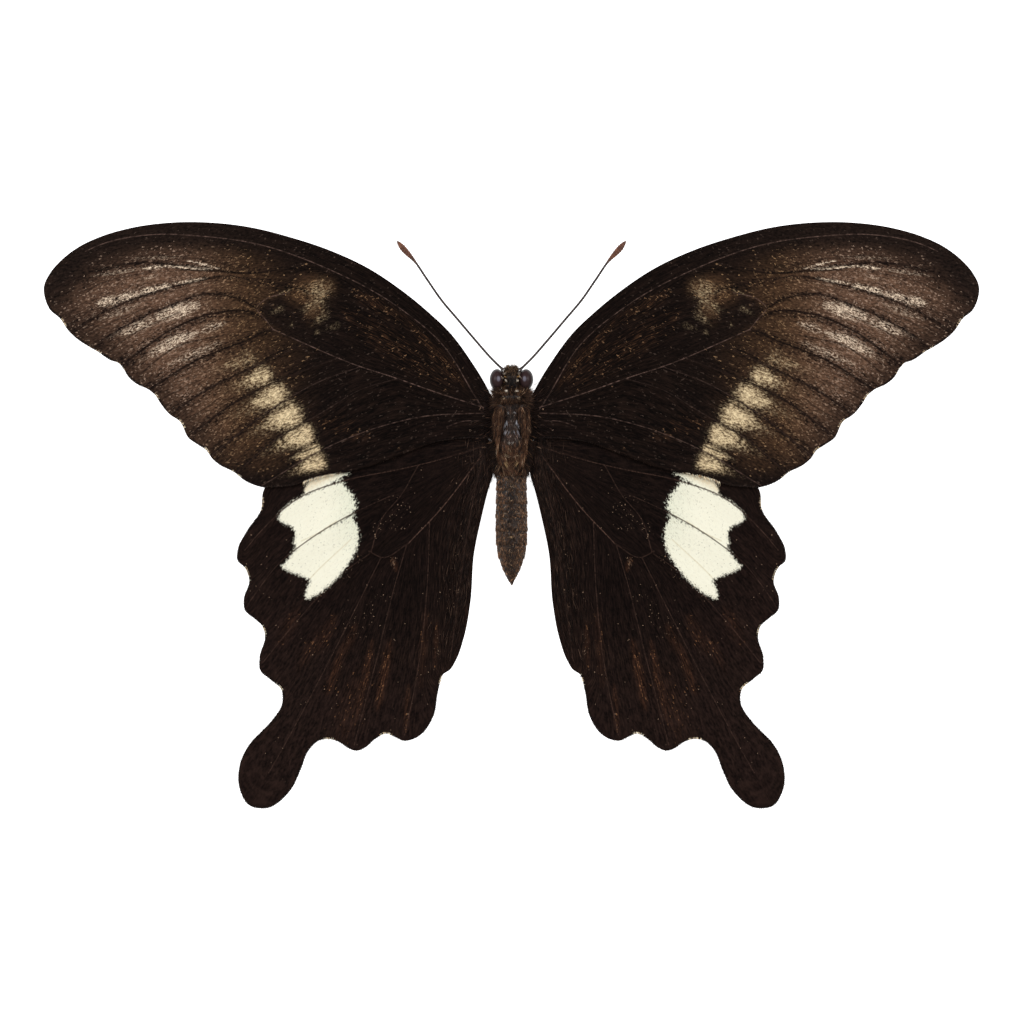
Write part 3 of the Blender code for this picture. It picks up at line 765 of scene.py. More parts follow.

# %% [markdown]
# ## Finish of the forewing
# Seen close, the wing is a mosaic of single scales, each of one colour, and the pale ones curl up and
# catch the light. Voronoi cells draw lots for single scales, and the thin lines where a noise passes
# through its middle value stand for curled ones. Densities are roughened by a fine grain that is
# combed along the rays, which gives edges that are dusted and not drawn. Some light and shade is
# painted in as well: a pale sheen near the tip, shade along the folds and creases, and light and shade
# across the pleats between the veins. The ground is velvety black-brown with hardly any gloss.

# %% Drawing lots for scales
SCALES_PER_MM = 6.4
TINY_SCALES_PER_MM = 9.5
CURLS_PER_MM = 3.6
PITS_PER_MM = 3.4
GRAIN_PER_MM = 4.2
CLOUDS_PER_MM = 0.9
BEADS_PER_MM = 1.7
STREAKS_PER_RAY = 26.0
PLEAT_SHADES_PER_RAY = 7.0
THREADS_PER_RAY = 40.0
COMB_STRETCH = 0.55
FORE_COMB = math.radians(18.0)
HIND_COMB = math.radians(58.0)
CURL_WIDTH = 0.085
PIT_WIDTH = 0.05
SCALE_RELIEF = 0.05 * MM
WING_ROUGHNESS = 0.75


def wing_ground(finish, comb_angle):
    """What both wing finishes share: two lots for scales, curls, pits, grain, streaks and painted pleat
    shade.
    """
    fan, reach = finish.number("fan"), finish.number("reach")
    outward, along = finish.number("outward"), finish.number("along")
    cosine, sine = math.cos(comb_angle), math.sin(comb_angle)
    combed = finish.vector((outward * cosine - along * sine) * COMB_STRETCH,
                           outward * sine + along * cosine)
    first, second, third = finish.scales(combed, SCALES_PER_MM)
    curl = 1.0 - (finish.noise(combed, CURLS_PER_MM, 2.0) - 0.5).size().ramp(0.0, CURL_WIDTH)
    pit = 1.0 - (finish.noise(combed, PITS_PER_MM, 1.0) - 0.5).size().ramp(0.0, PIT_WIDTH)
    pit = pit * third.ramp(0.35, 0.75)
    grain = finish.noise(combed, GRAIN_PER_MM, 6.0).ramp(0.28, 0.72)
    streaks = finish.noise(finish.vector(fan * STREAKS_PER_RAY, reach * 0.8), 1.0, 3.0)
    pleat_shade = finish.noise(finish.vector(fan * PLEAT_SHADES_PER_RAY, reach * 0.22), 1.0, 3.0)
    return first, second, curl, pit, grain, streaks, pleat_shade


def velvet(finish, colour, height):
    """The surface of a scaled wing: dull, with the faint relief of its scales."""
    relief = finish.node("Bump", {}, {"Strength": 0.45, "Distance": SCALE_RELIEF, "Height": height})
    finish.surface({"Specular IOR Level": 0.04, "Roughness": WING_ROUGHNESS},
                   {"Base Color": colour, "Normal": relief})


# %% Forewing scales
forewing_finish = Finish("forewing_scales")
blend, number = forewing_finish.blend, forewing_finish.number
first, second, curl, pit, grain, streaks, pleat_shade = wing_ground(forewing_finish, FORE_COMB)
brown, golden, vein, fold, fan = (number(name) for name in ("brown", "golden", "vein", "fold", "fan"))
fore_place = forewing_finish.vector(number("outward"), number("along"))
cloudy = forewing_finish.noise(fore_place, CLOUDS_PER_MM, 3.0)

# Painted light and shade: the pleat noise lightens and darkens fine bands along the rays, as the light
# falls on fine pleats. The streak noise is the scales' own tone.
streaky = streaks.ramp(0.4, 0.75) * 0.5 + pleat_shade.ramp(0.4, 0.75) * 0.4
ground = blend(streaky + grain * 0.15, paint(4, 2, 2), paint(37, 25, 20))
ground = blend(number("outward").ramp(16.0, 48.0) * (0.02 + 0.12 * grain), ground, paint(84, 66, 57))
ground = blend(curl * (first < 0.06) * (0.1 + 0.35 * second), ground, paint(104, 86, 76))
threads = streaks.ramp(0.48, 0.66) * pleat_shade.ramp(0.35, 0.6)
ground = blend((number("rust") * threads).least(1.0) * 0.7, ground, paint(104, 70, 46))
rusty = number("rust") * (0.1 + 0.3 * threads)
ground = blend(curl * (first < rusty) * (0.15 + 0.5 * second), ground, paint(160, 120, 84))
brown_paint = blend(golden, paint(120, 90, 71), paint(108, 78, 54))
# Painted light and shade: the brown is lightest halfway between two rays and darkest at them, as the
# pleats between the veins catch the light.
brown_and_pleat_light_share = brown * (0.42 * fan.hump() + 0.6 * (grain - 0.5) + 0.4 * (cloudy - 0.5)
                       + 0.3 * streaks.ramp(0.35, 0.65))
ground = blend(brown_and_pleat_light_share, ground, brown_paint)
wisp = curl * (first < brown * 0.4) * (0.1 + 0.55 * second)
ground = blend(wisp, ground, blend(golden, paint(190, 160, 138), paint(176, 138, 98)))
# Painted sheen: warm pale streaks near the tip, where the scales glint in the light.
silk = number("silk")
painted_sheen_paint = blend(grain * 0.5 + curl * 0.6, paint(122, 95, 76), paint(255, 232, 204))
painted_sheen_grain = (grain - 0.5) * 0.6 + (streaks - 0.5) * 1.3 + (curl - 0.3) * 0.5
painted_sheen_share = (silk + painted_sheen_grain * silk.ramp(0.0, 0.5)).ramp(0.12, 1.25)
ground = blend(painted_sheen_share, ground, painted_sheen_paint)
tan = number("tan") * (0.72 + 0.56 * cloudy.ramp(0.3, 0.7))
tan_light = 0.08 + tan * 0.56 + (grain - 0.5) * 0.6 + (curl - 0.3) * 0.4
tan_paint = blend(tan_light, paint(126, 98, 68), paint(240, 217, 174))
tan_share = (tan + 0.45 * (grain - 0.5) * tan.ramp(0.0, 0.4) + 0.16 * (curl - 0.3)).ramp(0.08, 1.0)
pitted = 1.0 - pit * 0.6
ground = blend(tan_share * pitted, ground, tan_paint)

paleness = (brown.most(tan) * 1.8).least(1.0)
dark_vein = (1.0 - vein.ramp(0.05, 0.2)) * number("vein_dark") * paleness
# Painted shade: dark lines along the folds and creases on the pale scales, where shade falls in them. The
# dark veins are the veins' own colour.
painted_fold_shade = (1.0 - fold.ramp(0.03, 0.2)) * number("fold_shade_strength") * paleness
ground = blend(dark_vein.most(painted_fold_shade) * 0.85, ground, paint(20, 12, 9))
beads = forewing_finish.noise(fore_place, BEADS_PER_MM, 2.0).ramp(0.3, 0.7)
pale_vein = (1.0 - vein.ramp(0.01, 0.1)) * number("vein_pale")
ground = blend(pale_vein * (0.05 + beads * (0.3 + 0.5 * second)), ground, paint(126, 100, 90))
ground = blend(number("under") * 0.5, ground, paint(34, 26, 22))
velvet(forewing_finish, ground, first * 0.4 + grain * 0.6 + streaks)

# %% [markdown]
# ## Finish of the hindwing
# The hindwing is blacker than the forewing, with a cream patch of three parts. The patch is a signed
# distance to its outline, and a fine grain and a lot for each tiny scale shift that distance, so that
# the edge breaks up scale by scale. The side of the patch that faces the body is dusted grey-green,
# the forward streak is warmer, and fine paler threads run along the inner margin.

# %% Hindwing scales
hindwing_finish = Finish("hindwing_scales")
blend, number = hindwing_finish.blend, hindwing_finish.number
first, second, curl, pit, grain, streaks, pleat_shade = wing_ground(hindwing_finish, HIND_COMB)
hind_place = hindwing_finish.vector(number("outward"), number("along"))
tiny, tiny_tone = hindwing_finish.scales(hind_place, TINY_SCALES_PER_MM)[:2]
vein, fold, streaked, dusty = (number(name) for name in ("vein", "fold", "streaked", "dusty"))
thread_place = hindwing_finish.vector(number("fan") * THREADS_PER_RAY, number("reach") * 0.5)
threads = hindwing_finish.noise(thread_place)
# Painted light and shade: the pleat noise lightens and darkens fine bands along the rays, as on the
# forewing.
streaky = streaks.ramp(0.4, 0.75) * 0.5 + pleat_shade.ramp(0.4, 0.75) * 0.35
ground = blend(streaky + grain * 0.2, paint(4, 2, 2), paint(36, 24, 20))
far_out = number("reach").ramp(16.0, 46.0) * (0.02 + 0.14 * grain + 0.14 * streaks.ramp(0.35, 0.65))
ground = blend(far_out, ground, paint(66, 47, 41))
ground = blend(threads.ramp(0.52, 0.72) * (0.06 + 0.5 * streaked), ground, paint(78, 57, 46))
rust = number("rust") * (0.2 + 0.8 * threads.ramp(0.4, 0.6))
ground = blend(rust * (0.2 + 0.35 * grain + 0.3 * streaks.ramp(0.4, 0.7)), ground, paint(92, 58, 40))
ground = blend(curl * (first < rust * 0.25) * (0.15 + 0.4 * second), ground, paint(170, 120, 82))
ground = blend((tiny < number("speck")) * (0.1 + 0.75 * tiny_tone ** 2.0), ground, paint(170, 140, 116))
pale_vein = (1.0 - vein.ramp(0.02, 0.1)) * number("vein_pale")
ground = blend(pale_vein * (0.12 + 0.6 * first), ground, paint(112, 84, 72))

ragged = number("cream") + (grain - 0.5) * (0.36 + 0.4 * dusty) + (tiny - 0.5) * 0.3
milk = blend(dusty * (0.5 + 0.3 * grain), paint(251, 248, 227), paint(222, 227, 205))
milk = blend(streaks.ramp(0.3, 0.7) * 0.2, milk, paint(240, 232, 206))
warm = (number("along") + number("outward") * 0.5).ramp(15.8, 16.8)
milk = blend(warm * (0.3 + 0.5 * grain), milk, paint(228, 206, 168))
peppered = pit * (0.12 + 0.5 * dusty) + (tiny < 0.012) * 0.4
milk = blend(peppered, milk, paint(128, 120, 98))
# Painted shade: faint darker lines along the folds in the cream patch.
milk = blend((1.0 - fold.ramp(0.02, 0.14)) * 0.4, milk, paint(206, 190, 150))
milk = blend((1.0 - vein.ramp(0.03, 0.12)) * number("vein_dark") * 0.85, milk, paint(66, 46, 32))
ground = blend(ragged.ramp(0.0, 0.46), ground, milk)
ground = blend(number("under") * 0.35, ground, paint(60, 50, 44))
velvet(hindwing_finish, ground, first * 0.5 + grain * 0.5 + streaks)

# %% Four wings
for word, side in SIDES.items():
    for wing, plan, finish in (("forewing", fore_plan, forewing_finish),
                               ("hindwing", hind_plan, hindwing_finish)):
        name = word + "_" + wing
        add_piece(name, wing_mesh(name, plan, side), finish, wing + "_scales", wing + "_" + word)

# %% [markdown]
# ## Skins and hair
# The trunk of a butterfly is a set of rounded shells that hardly show under their coat. Each shell
# is a skin through oval rings, because rings follow the measured widths and heights exactly. The
# coat is thousands of separate hairs and scales. Particle hair would not survive an export, so every
# hair is a tiny closed spike, combed by a direction that depends on where it grows.

# %% Skins through oval rings
def ring_faces(rings, around, swapped):
    """Faces between rings of points, closed by a fan to one more point at each end."""
    count = rings * around
    last = count - around
    faces = []
    for place in range(around):
        one, other = place, (place + 1) % around
        if swapped:
            one, other = other, one
        faces += [(count, other, one), (count + 1, last + one, last + other)]
        faces += [(near + one, near + other, near + around + other, near + around + one)
                  for near in range(0, last, around)]
    return faces


def ring_skin(stations, step, around, relief=None):
    """Points and faces of a closed skin through rings of (y, middle height, half width, half height)."""
    rings = smooth_through(stations, step)
    angles = np.linspace(0.0, 2 * math.pi, around, endpoint=False)
    turn, ring = np.meshgrid(angles, np.arange(len(rings)))
    y, middle, wide, high = (rings[ring.ravel(), column] for column in range(4))
    angle = turn.ravel()
    grown = 1.0 + (relief(y, angle) if relief else 0.0)
    points = np.column_stack([wide * np.cos(angle) * grown, y, middle + high * np.sin(angle) * grown])
    ends = [(0.0, rings[0][0], rings[0][1]), (0.0, rings[-1][0], rings[-1][1])]
    return np.vstack([points, ends]), ring_faces(len(rings), around, False)


def tube(route, radii, around, upright=(0.0, 0.0, 1.0)):
    """Points and faces of a round rod along a route, closed with a point at both ends."""
    run = np.gradient(route, axis=0)
    run /= np.linalg.norm(run, axis=1)[:, None]
    sideways = np.cross(run, np.array(upright))
    sideways /= np.linalg.norm(sideways, axis=1)[:, None]
    top = np.cross(sideways, run)
    angles = np.linspace(0.0, 2 * math.pi, around, endpoint=False)
    points = (route[:, None] + np.asarray(radii)[:, None, None]
              * (sideways[:, None] * np.cos(angles)[None, :, None]
                 + top[:, None] * np.sin(angles)[None, :, None])).reshape(-1, 3)
    return np.vstack([points, route[:1], route[-1:]]), ring_faces(len(route), around, True)


def ripples(points, size, seed, waves=7):
    """Smooth bumps between about -1 and 1, about size mm apart."""
    lots = np.random.default_rng(seed)
    ways = lots.normal(size=(waves, points.shape[1]))
    ways *= 2 * math.pi / size / np.linalg.norm(ways, axis=1)[:, None]
    return np.sin(points @ ways.T + lots.uniform(0, 2 * math.pi, waves)).sum(axis=1) / math.sqrt(waves)


# %% Where hairs grow
def arrays_of(mesh):
    """Points and normals of a mesh and the corners of its triangles, in mm."""
    mesh.calc_loop_triangles()
    corners = np.zeros(len(mesh.loop_triangles) * 3, np.int32)
    mesh.loop_triangles.foreach_get("vertices", corners)
    points = np.zeros(len(mesh.vertices) * 3)
    mesh.vertices.foreach_get("co", points)
    normals = np.zeros(len(mesh.vertices) * 3)
    mesh.vertex_normals.foreach_get("vector", normals)
    return points.reshape(-1, 3) / MM, normals.reshape(-1, 3), corners.reshape(-1, 3)


def scatter(mesh, count):
    """Evenly scattered points on a mesh, and the normals there."""
    points, normals, corners = arrays_of(mesh)
    a, b, c = (points[corners[:, column]] for column in range(3))
    area = np.linalg.norm(np.cross(b - a, c - a), axis=1)
    chosen = corners[chance.choice(len(corners), count, p=area / area.sum())]
    first, second = chance.random(count), chance.random(count)
    over = first + second > 1
    first[over], second[over] = 1 - first[over], 1 - second[over]
    shares = np.column_stack([1 - first - second, first, second])
    roots = np.einsum("ij,ijk->ik", shares, points[chosen])
    upward = np.einsum("ij,ijk->ik", shares, normals[chosen])
    return roots, upward / np.linalg.norm(upward, axis=1)[:, None]


# %% Hairs as closed spikes
HAIR_ROOT_DEPTH = 0.04
HAIR_RIDGE = 0.4
HAIR_TIP_LIGHT = 1.25
HAIR_ROOT_LIGHT = 0.55


def hair_mesh(name, roots, normals, directions, lengths, widths, lift, sway, colours):
    """One mesh of many spikes. Each lies along its direction, lifted and swayed towards its tip."""
    count = len(roots)
    along = directions - normals * np.einsum("ij,ij->i", directions, normals)[:, None]
    along /= np.maximum(np.linalg.norm(along, axis=1), 1e-6)[:, None]
    across = np.cross(normals, along) * (widths / 2)[:, None]
    ridge = normals * (widths * HAIR_RIDGE)[:, None]
    reach = (along + normals * lift[:, None]) * lengths[:, None]
    start = roots - normals * HAIR_ROOT_DEPTH
    middle = roots + reach * 0.5 + sway * 0.25
    tip = roots + along * lengths[:, None] + normals * (lift * lengths * 0.7)[:, None] + sway
    points = np.stack([start - across, start + across, start + ridge,
                       middle - across * 0.85, middle + across * 0.85, middle + ridge * 0.85,
                       tip], axis=1).reshape(-1, 3)
    pattern = [(0, 2, 1), (0, 1, 4, 3), (1, 2, 5, 4), (2, 0, 3, 5), (3, 4, 6), (4, 5, 6), (5, 3, 6)]
    faces = [tuple(7 * hair + corner for corner in face) for hair in range(count) for face in pattern]
    # Painted shade and light: each spike is darker at its root, in the shade of the coat, and lighter at
    # its tip.
    light = np.array([HAIR_ROOT_LIGHT] * 3 + [1.0] * 3 + [HAIR_TIP_LIGHT])
    shown = np.ones((count, 7, 4))
    shown[:, :, :3] = colours[:, None, :] * light[None, :, None]
    return mesh_from(name, points, faces, None, {"hair_colour": shown.reshape(-1, 4)})


def tints(places, *choices):
    """A colour for each hair: choices are (chance, (red, green, blue)), and brightness varies."""
    colours = np.array([paint(*colour)[:3] for likely, colour in choices])
    likely = np.array([likely for likely, colour in choices], float)
    picked = colours[chance.choice(len(colours), len(places), p=likely / likely.sum())]
    return picked * chance.uniform(0.6, 1.4, len(places))[:, None]


TUFT_WIDTH = 0.55
TUFT_SLENDERNESS = 3.0
TUFT_CONTRAST = 0.6
LEAN_WIDTH = 1.3
LEAN_AMOUNT = 0.28


def tufts(roots, seed, slenderness=TUFT_SLENDERNESS):
    """Lightness and lean that hairs share with their neighbours, so that they look like tufts."""
    squeezed = roots * np.array([1.0, 1.0 / slenderness, 1.0])
    light = np.clip(1.0 + TUFT_CONTRAST * ripples(squeezed, TUFT_WIDTH, seed), 0.25, 2.4)
    lean = np.column_stack([ripples(roots, LEAN_WIDTH, seed + way) for way in (1, 2, 3)])
    return light[:, None], lean * LEAN_AMOUNT


def spread(count, amount):
    """Random vectors, for directions and sways that differ from hair to hair."""
    return chance.normal(size=(count, 3)) * amount


def up(count):
    """Normals that all point up, for hair that doesn't grow from a skin."""
    return np.tile([0.0, 0.0, 1.0], (count, 1))


def strewn(count, *ranges):
    """Random points in a box, from a range along each axis."""
    return np.column_stack([chance.uniform(*ends, count) for ends in ranges])


def add_coat(name, slot, roots, normals, directions, lengths, widths, lift, sway, colours):
    """Add one piece of hair. A pair is a range to draw from, and a tuple of tints draws colours."""
    count = len(roots)
    sizes = [chance.uniform(*size, count) if isinstance(size, tuple) else size
             for size in (lengths, widths, lift)]
    swaying = spread(count, sway) if sway else np.zeros((count, 3))
    if isinstance(colours, tuple):
        colours = tints(roots, *colours)
    return add_piece(name, hair_mesh(name, roots, normals, directions, *sizes, swaying, colours),
                     hair_finish, slot)


# %% [markdown]
# ## Finishes of the body
# Hair takes the colour that each spike carries, with a soft gloss along it, painted shade at its root
# and painted light at its tip. The skin under it is dark chitin with a mottled scale cover. Feelers,
# legs and tongue are bare chitin: smoother, with bands at their joints. The eyes are glossy domes of
# fine facets over a purple-brown ground, with painted shade where they face away from the light. Part
# of their soft highlight is painted where the light stands, because a stronger gloss would mirror the
# white surround and turn the whole eye grey.

# %% Finishes of hair, skin, chitin and eyes
hair_finish = Finish("body_hair")
hair_place = hair_finish.node("TexCoord", output="Object")
hair_grain = hair_finish.noise(hair_place, 2600.0, 2.0)
hair_finish.surface({"Roughness": 0.55, "Specular IOR Level": 0.14},
                    {"Base Color": hair_finish.shade(0.7 + hair_grain * 0.6,
                                                     hair_finish.colour("hair_colour"))})

skin_finish = Finish("dark_skin")
skin_place = skin_finish.node("TexCoord", output="Object")
skin_mottle = skin_finish.noise(skin_place, 900.0, 4.0)
skin_fine = skin_finish.node("VectorMath", {"operation": "SCALE"}, {0: skin_place, "Scale": 6500.0})
skin_first, skin_second = skin_finish.scales(skin_fine)[:2]
skin_colour = skin_finish.blend(skin_mottle.ramp(0.35, 0.7), paint(18, 12, 10), paint(50, 37, 30))
skin_colour = skin_finish.blend((skin_first < 0.12) * 0.6, skin_colour, paint(96, 80, 70))
skin_bump = skin_finish.node("Bump", {}, {"Strength": 0.5, "Distance": SCALE_RELIEF,
                                          "Height": skin_second})
skin_finish.surface({"Roughness": 0.45, "Specular IOR Level": 0.3},
                    {"Base Color": skin_colour, "Normal": skin_bump})

chitin_finish = Finish("chitin")
chitin_place = chitin_finish.node("TexCoord", output="Object")
chitin_mottle = chitin_finish.noise(chitin_place, 1500.0, 3.0)
chitin_club = chitin_finish.number("club")
chitin_dark = chitin_finish.blend(chitin_mottle.ramp(0.3, 0.7), paint(38, 30, 28), paint(64, 54, 50))
chitin_light = chitin_finish.blend(chitin_mottle.ramp(0.3, 0.7), paint(76, 44, 31), paint(114, 70, 48))
chitin_finish.surface({"Roughness": 0.42, "Specular IOR Level": 0.3},
                      {"Base Color": chitin_finish.blend(chitin_club, chitin_dark, chitin_light)})

eye_finish = Finish("eye")
eye_place = eye_finish.node("TexCoord", output="Object")
eye_clouds = eye_finish.noise(eye_place, 700.0, 2.0)
eye_light_facing = eye_finish.number("light_facing")
# Painted shade and highlight: the eye is darker where it faces away from the soft boxes, and a soft
# highlight is painted where it faces them.
eye_colour = eye_finish.blend(eye_light_facing.ramp(0.0, 0.95), paint(6, 2, 2), paint(54, 39, 39))
eye_colour = eye_finish.blend(eye_clouds.ramp(0.35, 0.75) * 0.4, eye_colour, paint(30, 18, 17))
eye_colour = eye_finish.blend(eye_light_facing.ramp(0.945, 1.0) * 0.75, eye_colour, paint(116, 112, 124))
eye_finish.surface({"Roughness": 0.3, "Specular IOR Level": 0.1, "Coat Weight": 0.06,
                    "Coat Roughness": 0.15}, {"Base Color": eye_colour})
for finish in (hair_finish, skin_finish, chitin_finish, eye_finish):
    print("finish:", finish.material.name, "nodes:", len(finish.tree.nodes))

# %% [markdown]
# ## Fringes
# A wing ends in a fringe of narrow scales that stand out past the membrane. It is dark over the tips
# of the veins and cream in the notches between them, and along the hind edge of the forewing it is
# long where it lies over the cream streak. Each fringe scale is one small closed blade.

# %% Fringes along the outlines
FRINGE_STEP = 0.085
FRINGE_INSET = 0.2
NOTCH_REACH = 0.9
FORE_NOTCHES = [(57.4, 24.9), (53.5, 21.3), (50.0, 19.1), (45.5, 15.4), (42.2, 11.8), (39.0, 8.3),
                (35.1, 5.5)]
HIND_NOTCHES = [(32.0, 1.6), (33.8, -7.3), (31.6, -14.6), (29.7, -22.0), (23.5, -28.6), (16.1, -27.9),
                (9.2, -21.0)]
STREAK_FROM, STREAK_FULL, STREAK_TO = 20.9, 23.6, 26.6
STREAK_BELOW = 7.0
STREAK_SLANT = 0.75


def add_fringe(name, slot, stretch, drop, notches, side):
    """Blades along a stretch of an outline that runs clockwise around the wing of the +X side."""
    line = smooth_through(stretch, FRINGE_STEP)
    line = line + chance.normal(size=line.shape) * 0.02
    run = np.gradient(smooth_through(stretch, FRINGE_STEP), axis=0)
    run /= np.linalg.norm(run, axis=1)[:, None]
    out = np.column_stack([-run[:, 1], run[:, 0]])
    gap = np.stack([np.linalg.norm(line - np.array(notch), axis=1) for notch in notches]).min(axis=0)
    streak = (line[:, 0] > STREAK_FROM) & (line[:, 0] < STREAK_TO) & (line[:, 1] < STREAK_BELOW)
    streak &= drop == 0.0
    roots_flat = line - out * FRINGE_INSET
    roots = np.column_stack([side * roots_flat[:, 0], roots_flat[:, 1],
                             arch(roots_flat, drop) + HALF_THICKNESS])
    ways = out - np.where(streak, STREAK_SLANT, 0.0)[:, None] * run
    ways = ways + chance.normal(size=out.shape) * 0.16
    directions = np.column_stack([side * ways[:, 0], ways[:, 1], np.zeros(len(ways))])
    colours = tints(roots, (4, (30, 21, 18)), (2, (52, 38, 31)))
    pale = tints(roots, (3, (232, 206, 168)), (3, (250, 238, 212)), (0.8, (150, 112, 78)))
    notch_share = np.exp(-(gap / NOTCH_REACH) ** 2) > chance.uniform(0.25, 1.1, len(gap))
    colours[notch_share] = pale[notch_share]
    striped = streak & (ripples(line, 0.9, 5) > -1.3)
    colours[striped] = pale[striped]
    taper = 0.25 + 0.75 * rise(line[:, 0], STREAK_FROM, STREAK_FULL)
    tapered = chance.uniform(0.5, 0.95, len(gap)) * taper
    lengths = np.where(streak, tapered, chance.uniform(0.24, 0.4, len(gap)))
    count = len(roots)
    add_coat(name, slot, roots, up(count), directions, lengths, (0.06, 0.1), np.full(count, -0.06),
             0.0, colours)


fore_margin = FORE_FRONT_AND_MARGIN[TIP_PLACE:]
tail_margin = HIND_LOOP[HIND_MARGIN_PLACE:-HIND_INNER_PLACES]
for word, side in SIDES.items():
    for part, stretch, drop, notches in (("outer_fringe", fore_margin, 0.0, FORE_NOTCHES),
                                         ("hind_edge_fringe", FORE_HIND_EDGE, 0.0, FORE_NOTCHES),
                                         ("tail_fringe", tail_margin, HINDWING_DROP, HIND_NOTCHES)):
        slot = "hindwing_scales" if part == "tail_fringe" else "forewing_scales"
        add_fringe(word + "_" + part, slot, stretch, drop, notches, side)

# %% [markdown]
# ## Hair on the wings
# Long fine hair lies along the inner margin of the hindwing and around the roots of all wings. Each
# hair could start anywhere on the wing, so a share is worked out for every point of its mesh, and the
# roots are drawn by those shares. Hair at a root points away from the joint.

# %% Hair along the hindwing and around the roots
def add_wing_hair(name, slot, plan, drop, chosen, count, toward, lengths, choices, side):
    """Hairs on the upper sheet of a wing, more of them where chosen is larger."""
    flat = plan["flat"]
    likely = chosen / chosen.sum()
    places = flat[chance.choice(len(flat), count, p=likely)] + chance.normal(size=(count, 2)) * 0.12
    roots = np.column_stack([side * places[:, 0], places[:, 1],
                             arch(places, drop) + HALF_THICKNESS + 0.03])
    ways = toward(places) + chance.normal(size=(count, 2)) * 0.14
    directions = np.column_stack([side * ways[:, 0], ways[:, 1], np.zeros(count)])
    add_coat(name, slot, roots, up(count), directions, lengths, (0.03, 0.06), (0.01, 0.08), 0.05,
             choices)


HINDWING_JOINT = (2.6, 8.4)
hind_flat, fore_flat = hind_plan["flat"], fore_plan["flat"]
inner_line = smooth_through(HIND_LOOP[-HIND_INNER_PLACES:], 0.5)
margin_gap = distance_to(hind_flat, inner_line)
margin_share = np.exp(-(margin_gap / 2.2) ** 2) * rise(hind_flat[:, 1], -19.0, -6.0)
margin_share = margin_share * (margin_gap > 0.45)
hind_root_gap = np.linalg.norm(hind_flat - np.array(HINDWING_JOINT), axis=1)
hind_root_share = np.exp(-(hind_root_gap / 2.6) ** 2) + 1e-9
fore_root_gap = distance_to(fore_flat, np.array(FORE_ROOT))
fore_root_share = np.exp(-(fore_root_gap / 1.7) ** 2) + 1e-9


def away_from(centre):
    """A direction for each place, straight away from a centre."""
    def toward(places):
        ways = places - np.array(centre)
        return ways / np.linalg.norm(ways, axis=1)[:, None]
    return toward


def along_margin(places):
    """The way that the inner margin runs beside each place, towards the tail."""
    nearest = np.linalg.norm(places[:, None] - inner_line[None], axis=2).argmin(axis=1)
    runs = -np.gradient(inner_line, axis=0)
    return (runs / np.linalg.norm(runs, axis=1)[:, None])[nearest]


DARK_HAIR = ((6, (24, 15, 12)), (3, (46, 31, 25)), (0.35, (112, 84, 68)))
MARGIN_HAIR = ((6, (32, 22, 18)), (3, (62, 44, 36)), (0.4, (104, 80, 66)))
MARGIN_HAIRS, HINDWING_ROOT_HAIRS, FOREWING_ROOT_HAIRS = 1500, 420, 380
for word, side in SIDES.items():
    add_wing_hair(word + "_margin_hair", "hindwing_scales", hind_plan, HINDWING_DROP, margin_share,
                  MARGIN_HAIRS, along_margin, (1.0, 2.0), MARGIN_HAIR, side)
    add_wing_hair(word + "_hindwing_root_hair", "hindwing_scales", hind_plan, HINDWING_DROP,
                  hind_root_share, HINDWING_ROOT_HAIRS, away_from((1.0, 10.0)), (0.5, 1.1), DARK_HAIR,
                  side)
    add_wing_hair(word + "_forewing_root_hair", "forewing_scales", fore_plan, 0.0, fore_root_share,
                  FOREWING_ROOT_HAIRS, away_from((-1.0, 13.0)), (0.5, 1.0), DARK_HAIR, side)

# %% [markdown]
# ## Thorax
# The thorax is a box of flight muscle, arched on top, with a shallow groove along the middle and a
# small shield at the back. Grey scales cover the middle, with a bluish gloss that is painted as bright
# tufts, and a long bundle of brown hair runs back along each side.

# %% Thorax skin
THORAX_STATIONS = [
    (14.6, 3.8, 0.1, 0.1), (14.5, 3.8, 1.35, 1.25), (13.8, 3.75, 1.75, 1.6), (12.6, 3.75, 2.0, 2.0),
    (11.2, 3.75, 2.15, 2.25), (9.6, 3.75, 2.15, 2.3), (8.1, 3.7, 2.05, 2.15), (6.9, 3.6, 1.9, 1.9),
    (5.8, 3.45, 1.8, 1.75), (5.55, 3.45, 1.5, 1.5), (5.5, 3.45, 0.1, 0.1),
]
GROOVE_DEPTH = 0.06
SHIELD_SWELL = 0.05


def thorax_relief(y, angle):
    """A groove along the back, a swelling for the shield and a seam in front of it."""
    upward = np.maximum(np.sin(angle), 0.0)
    groove = -GROOVE_DEPTH * np.exp(-(np.cos(angle) / 0.12) ** 2) * rise(y, 8.4, 9.2) * upward
    shield = SHIELD_SWELL * np.exp(-((y - 7.7) / 0.55) ** 2 - (np.cos(angle) / 0.4) ** 2) * upward
    seam = -0.03 * np.exp(-((y - 8.5) / 0.12) ** 2)
    return groove + shield + seam


thorax = add_shape("thorax_skin", ring_skin(THORAX_STATIONS, 0.16, 60, thorax_relief), skin_finish,
                   "body_hair", "thorax")

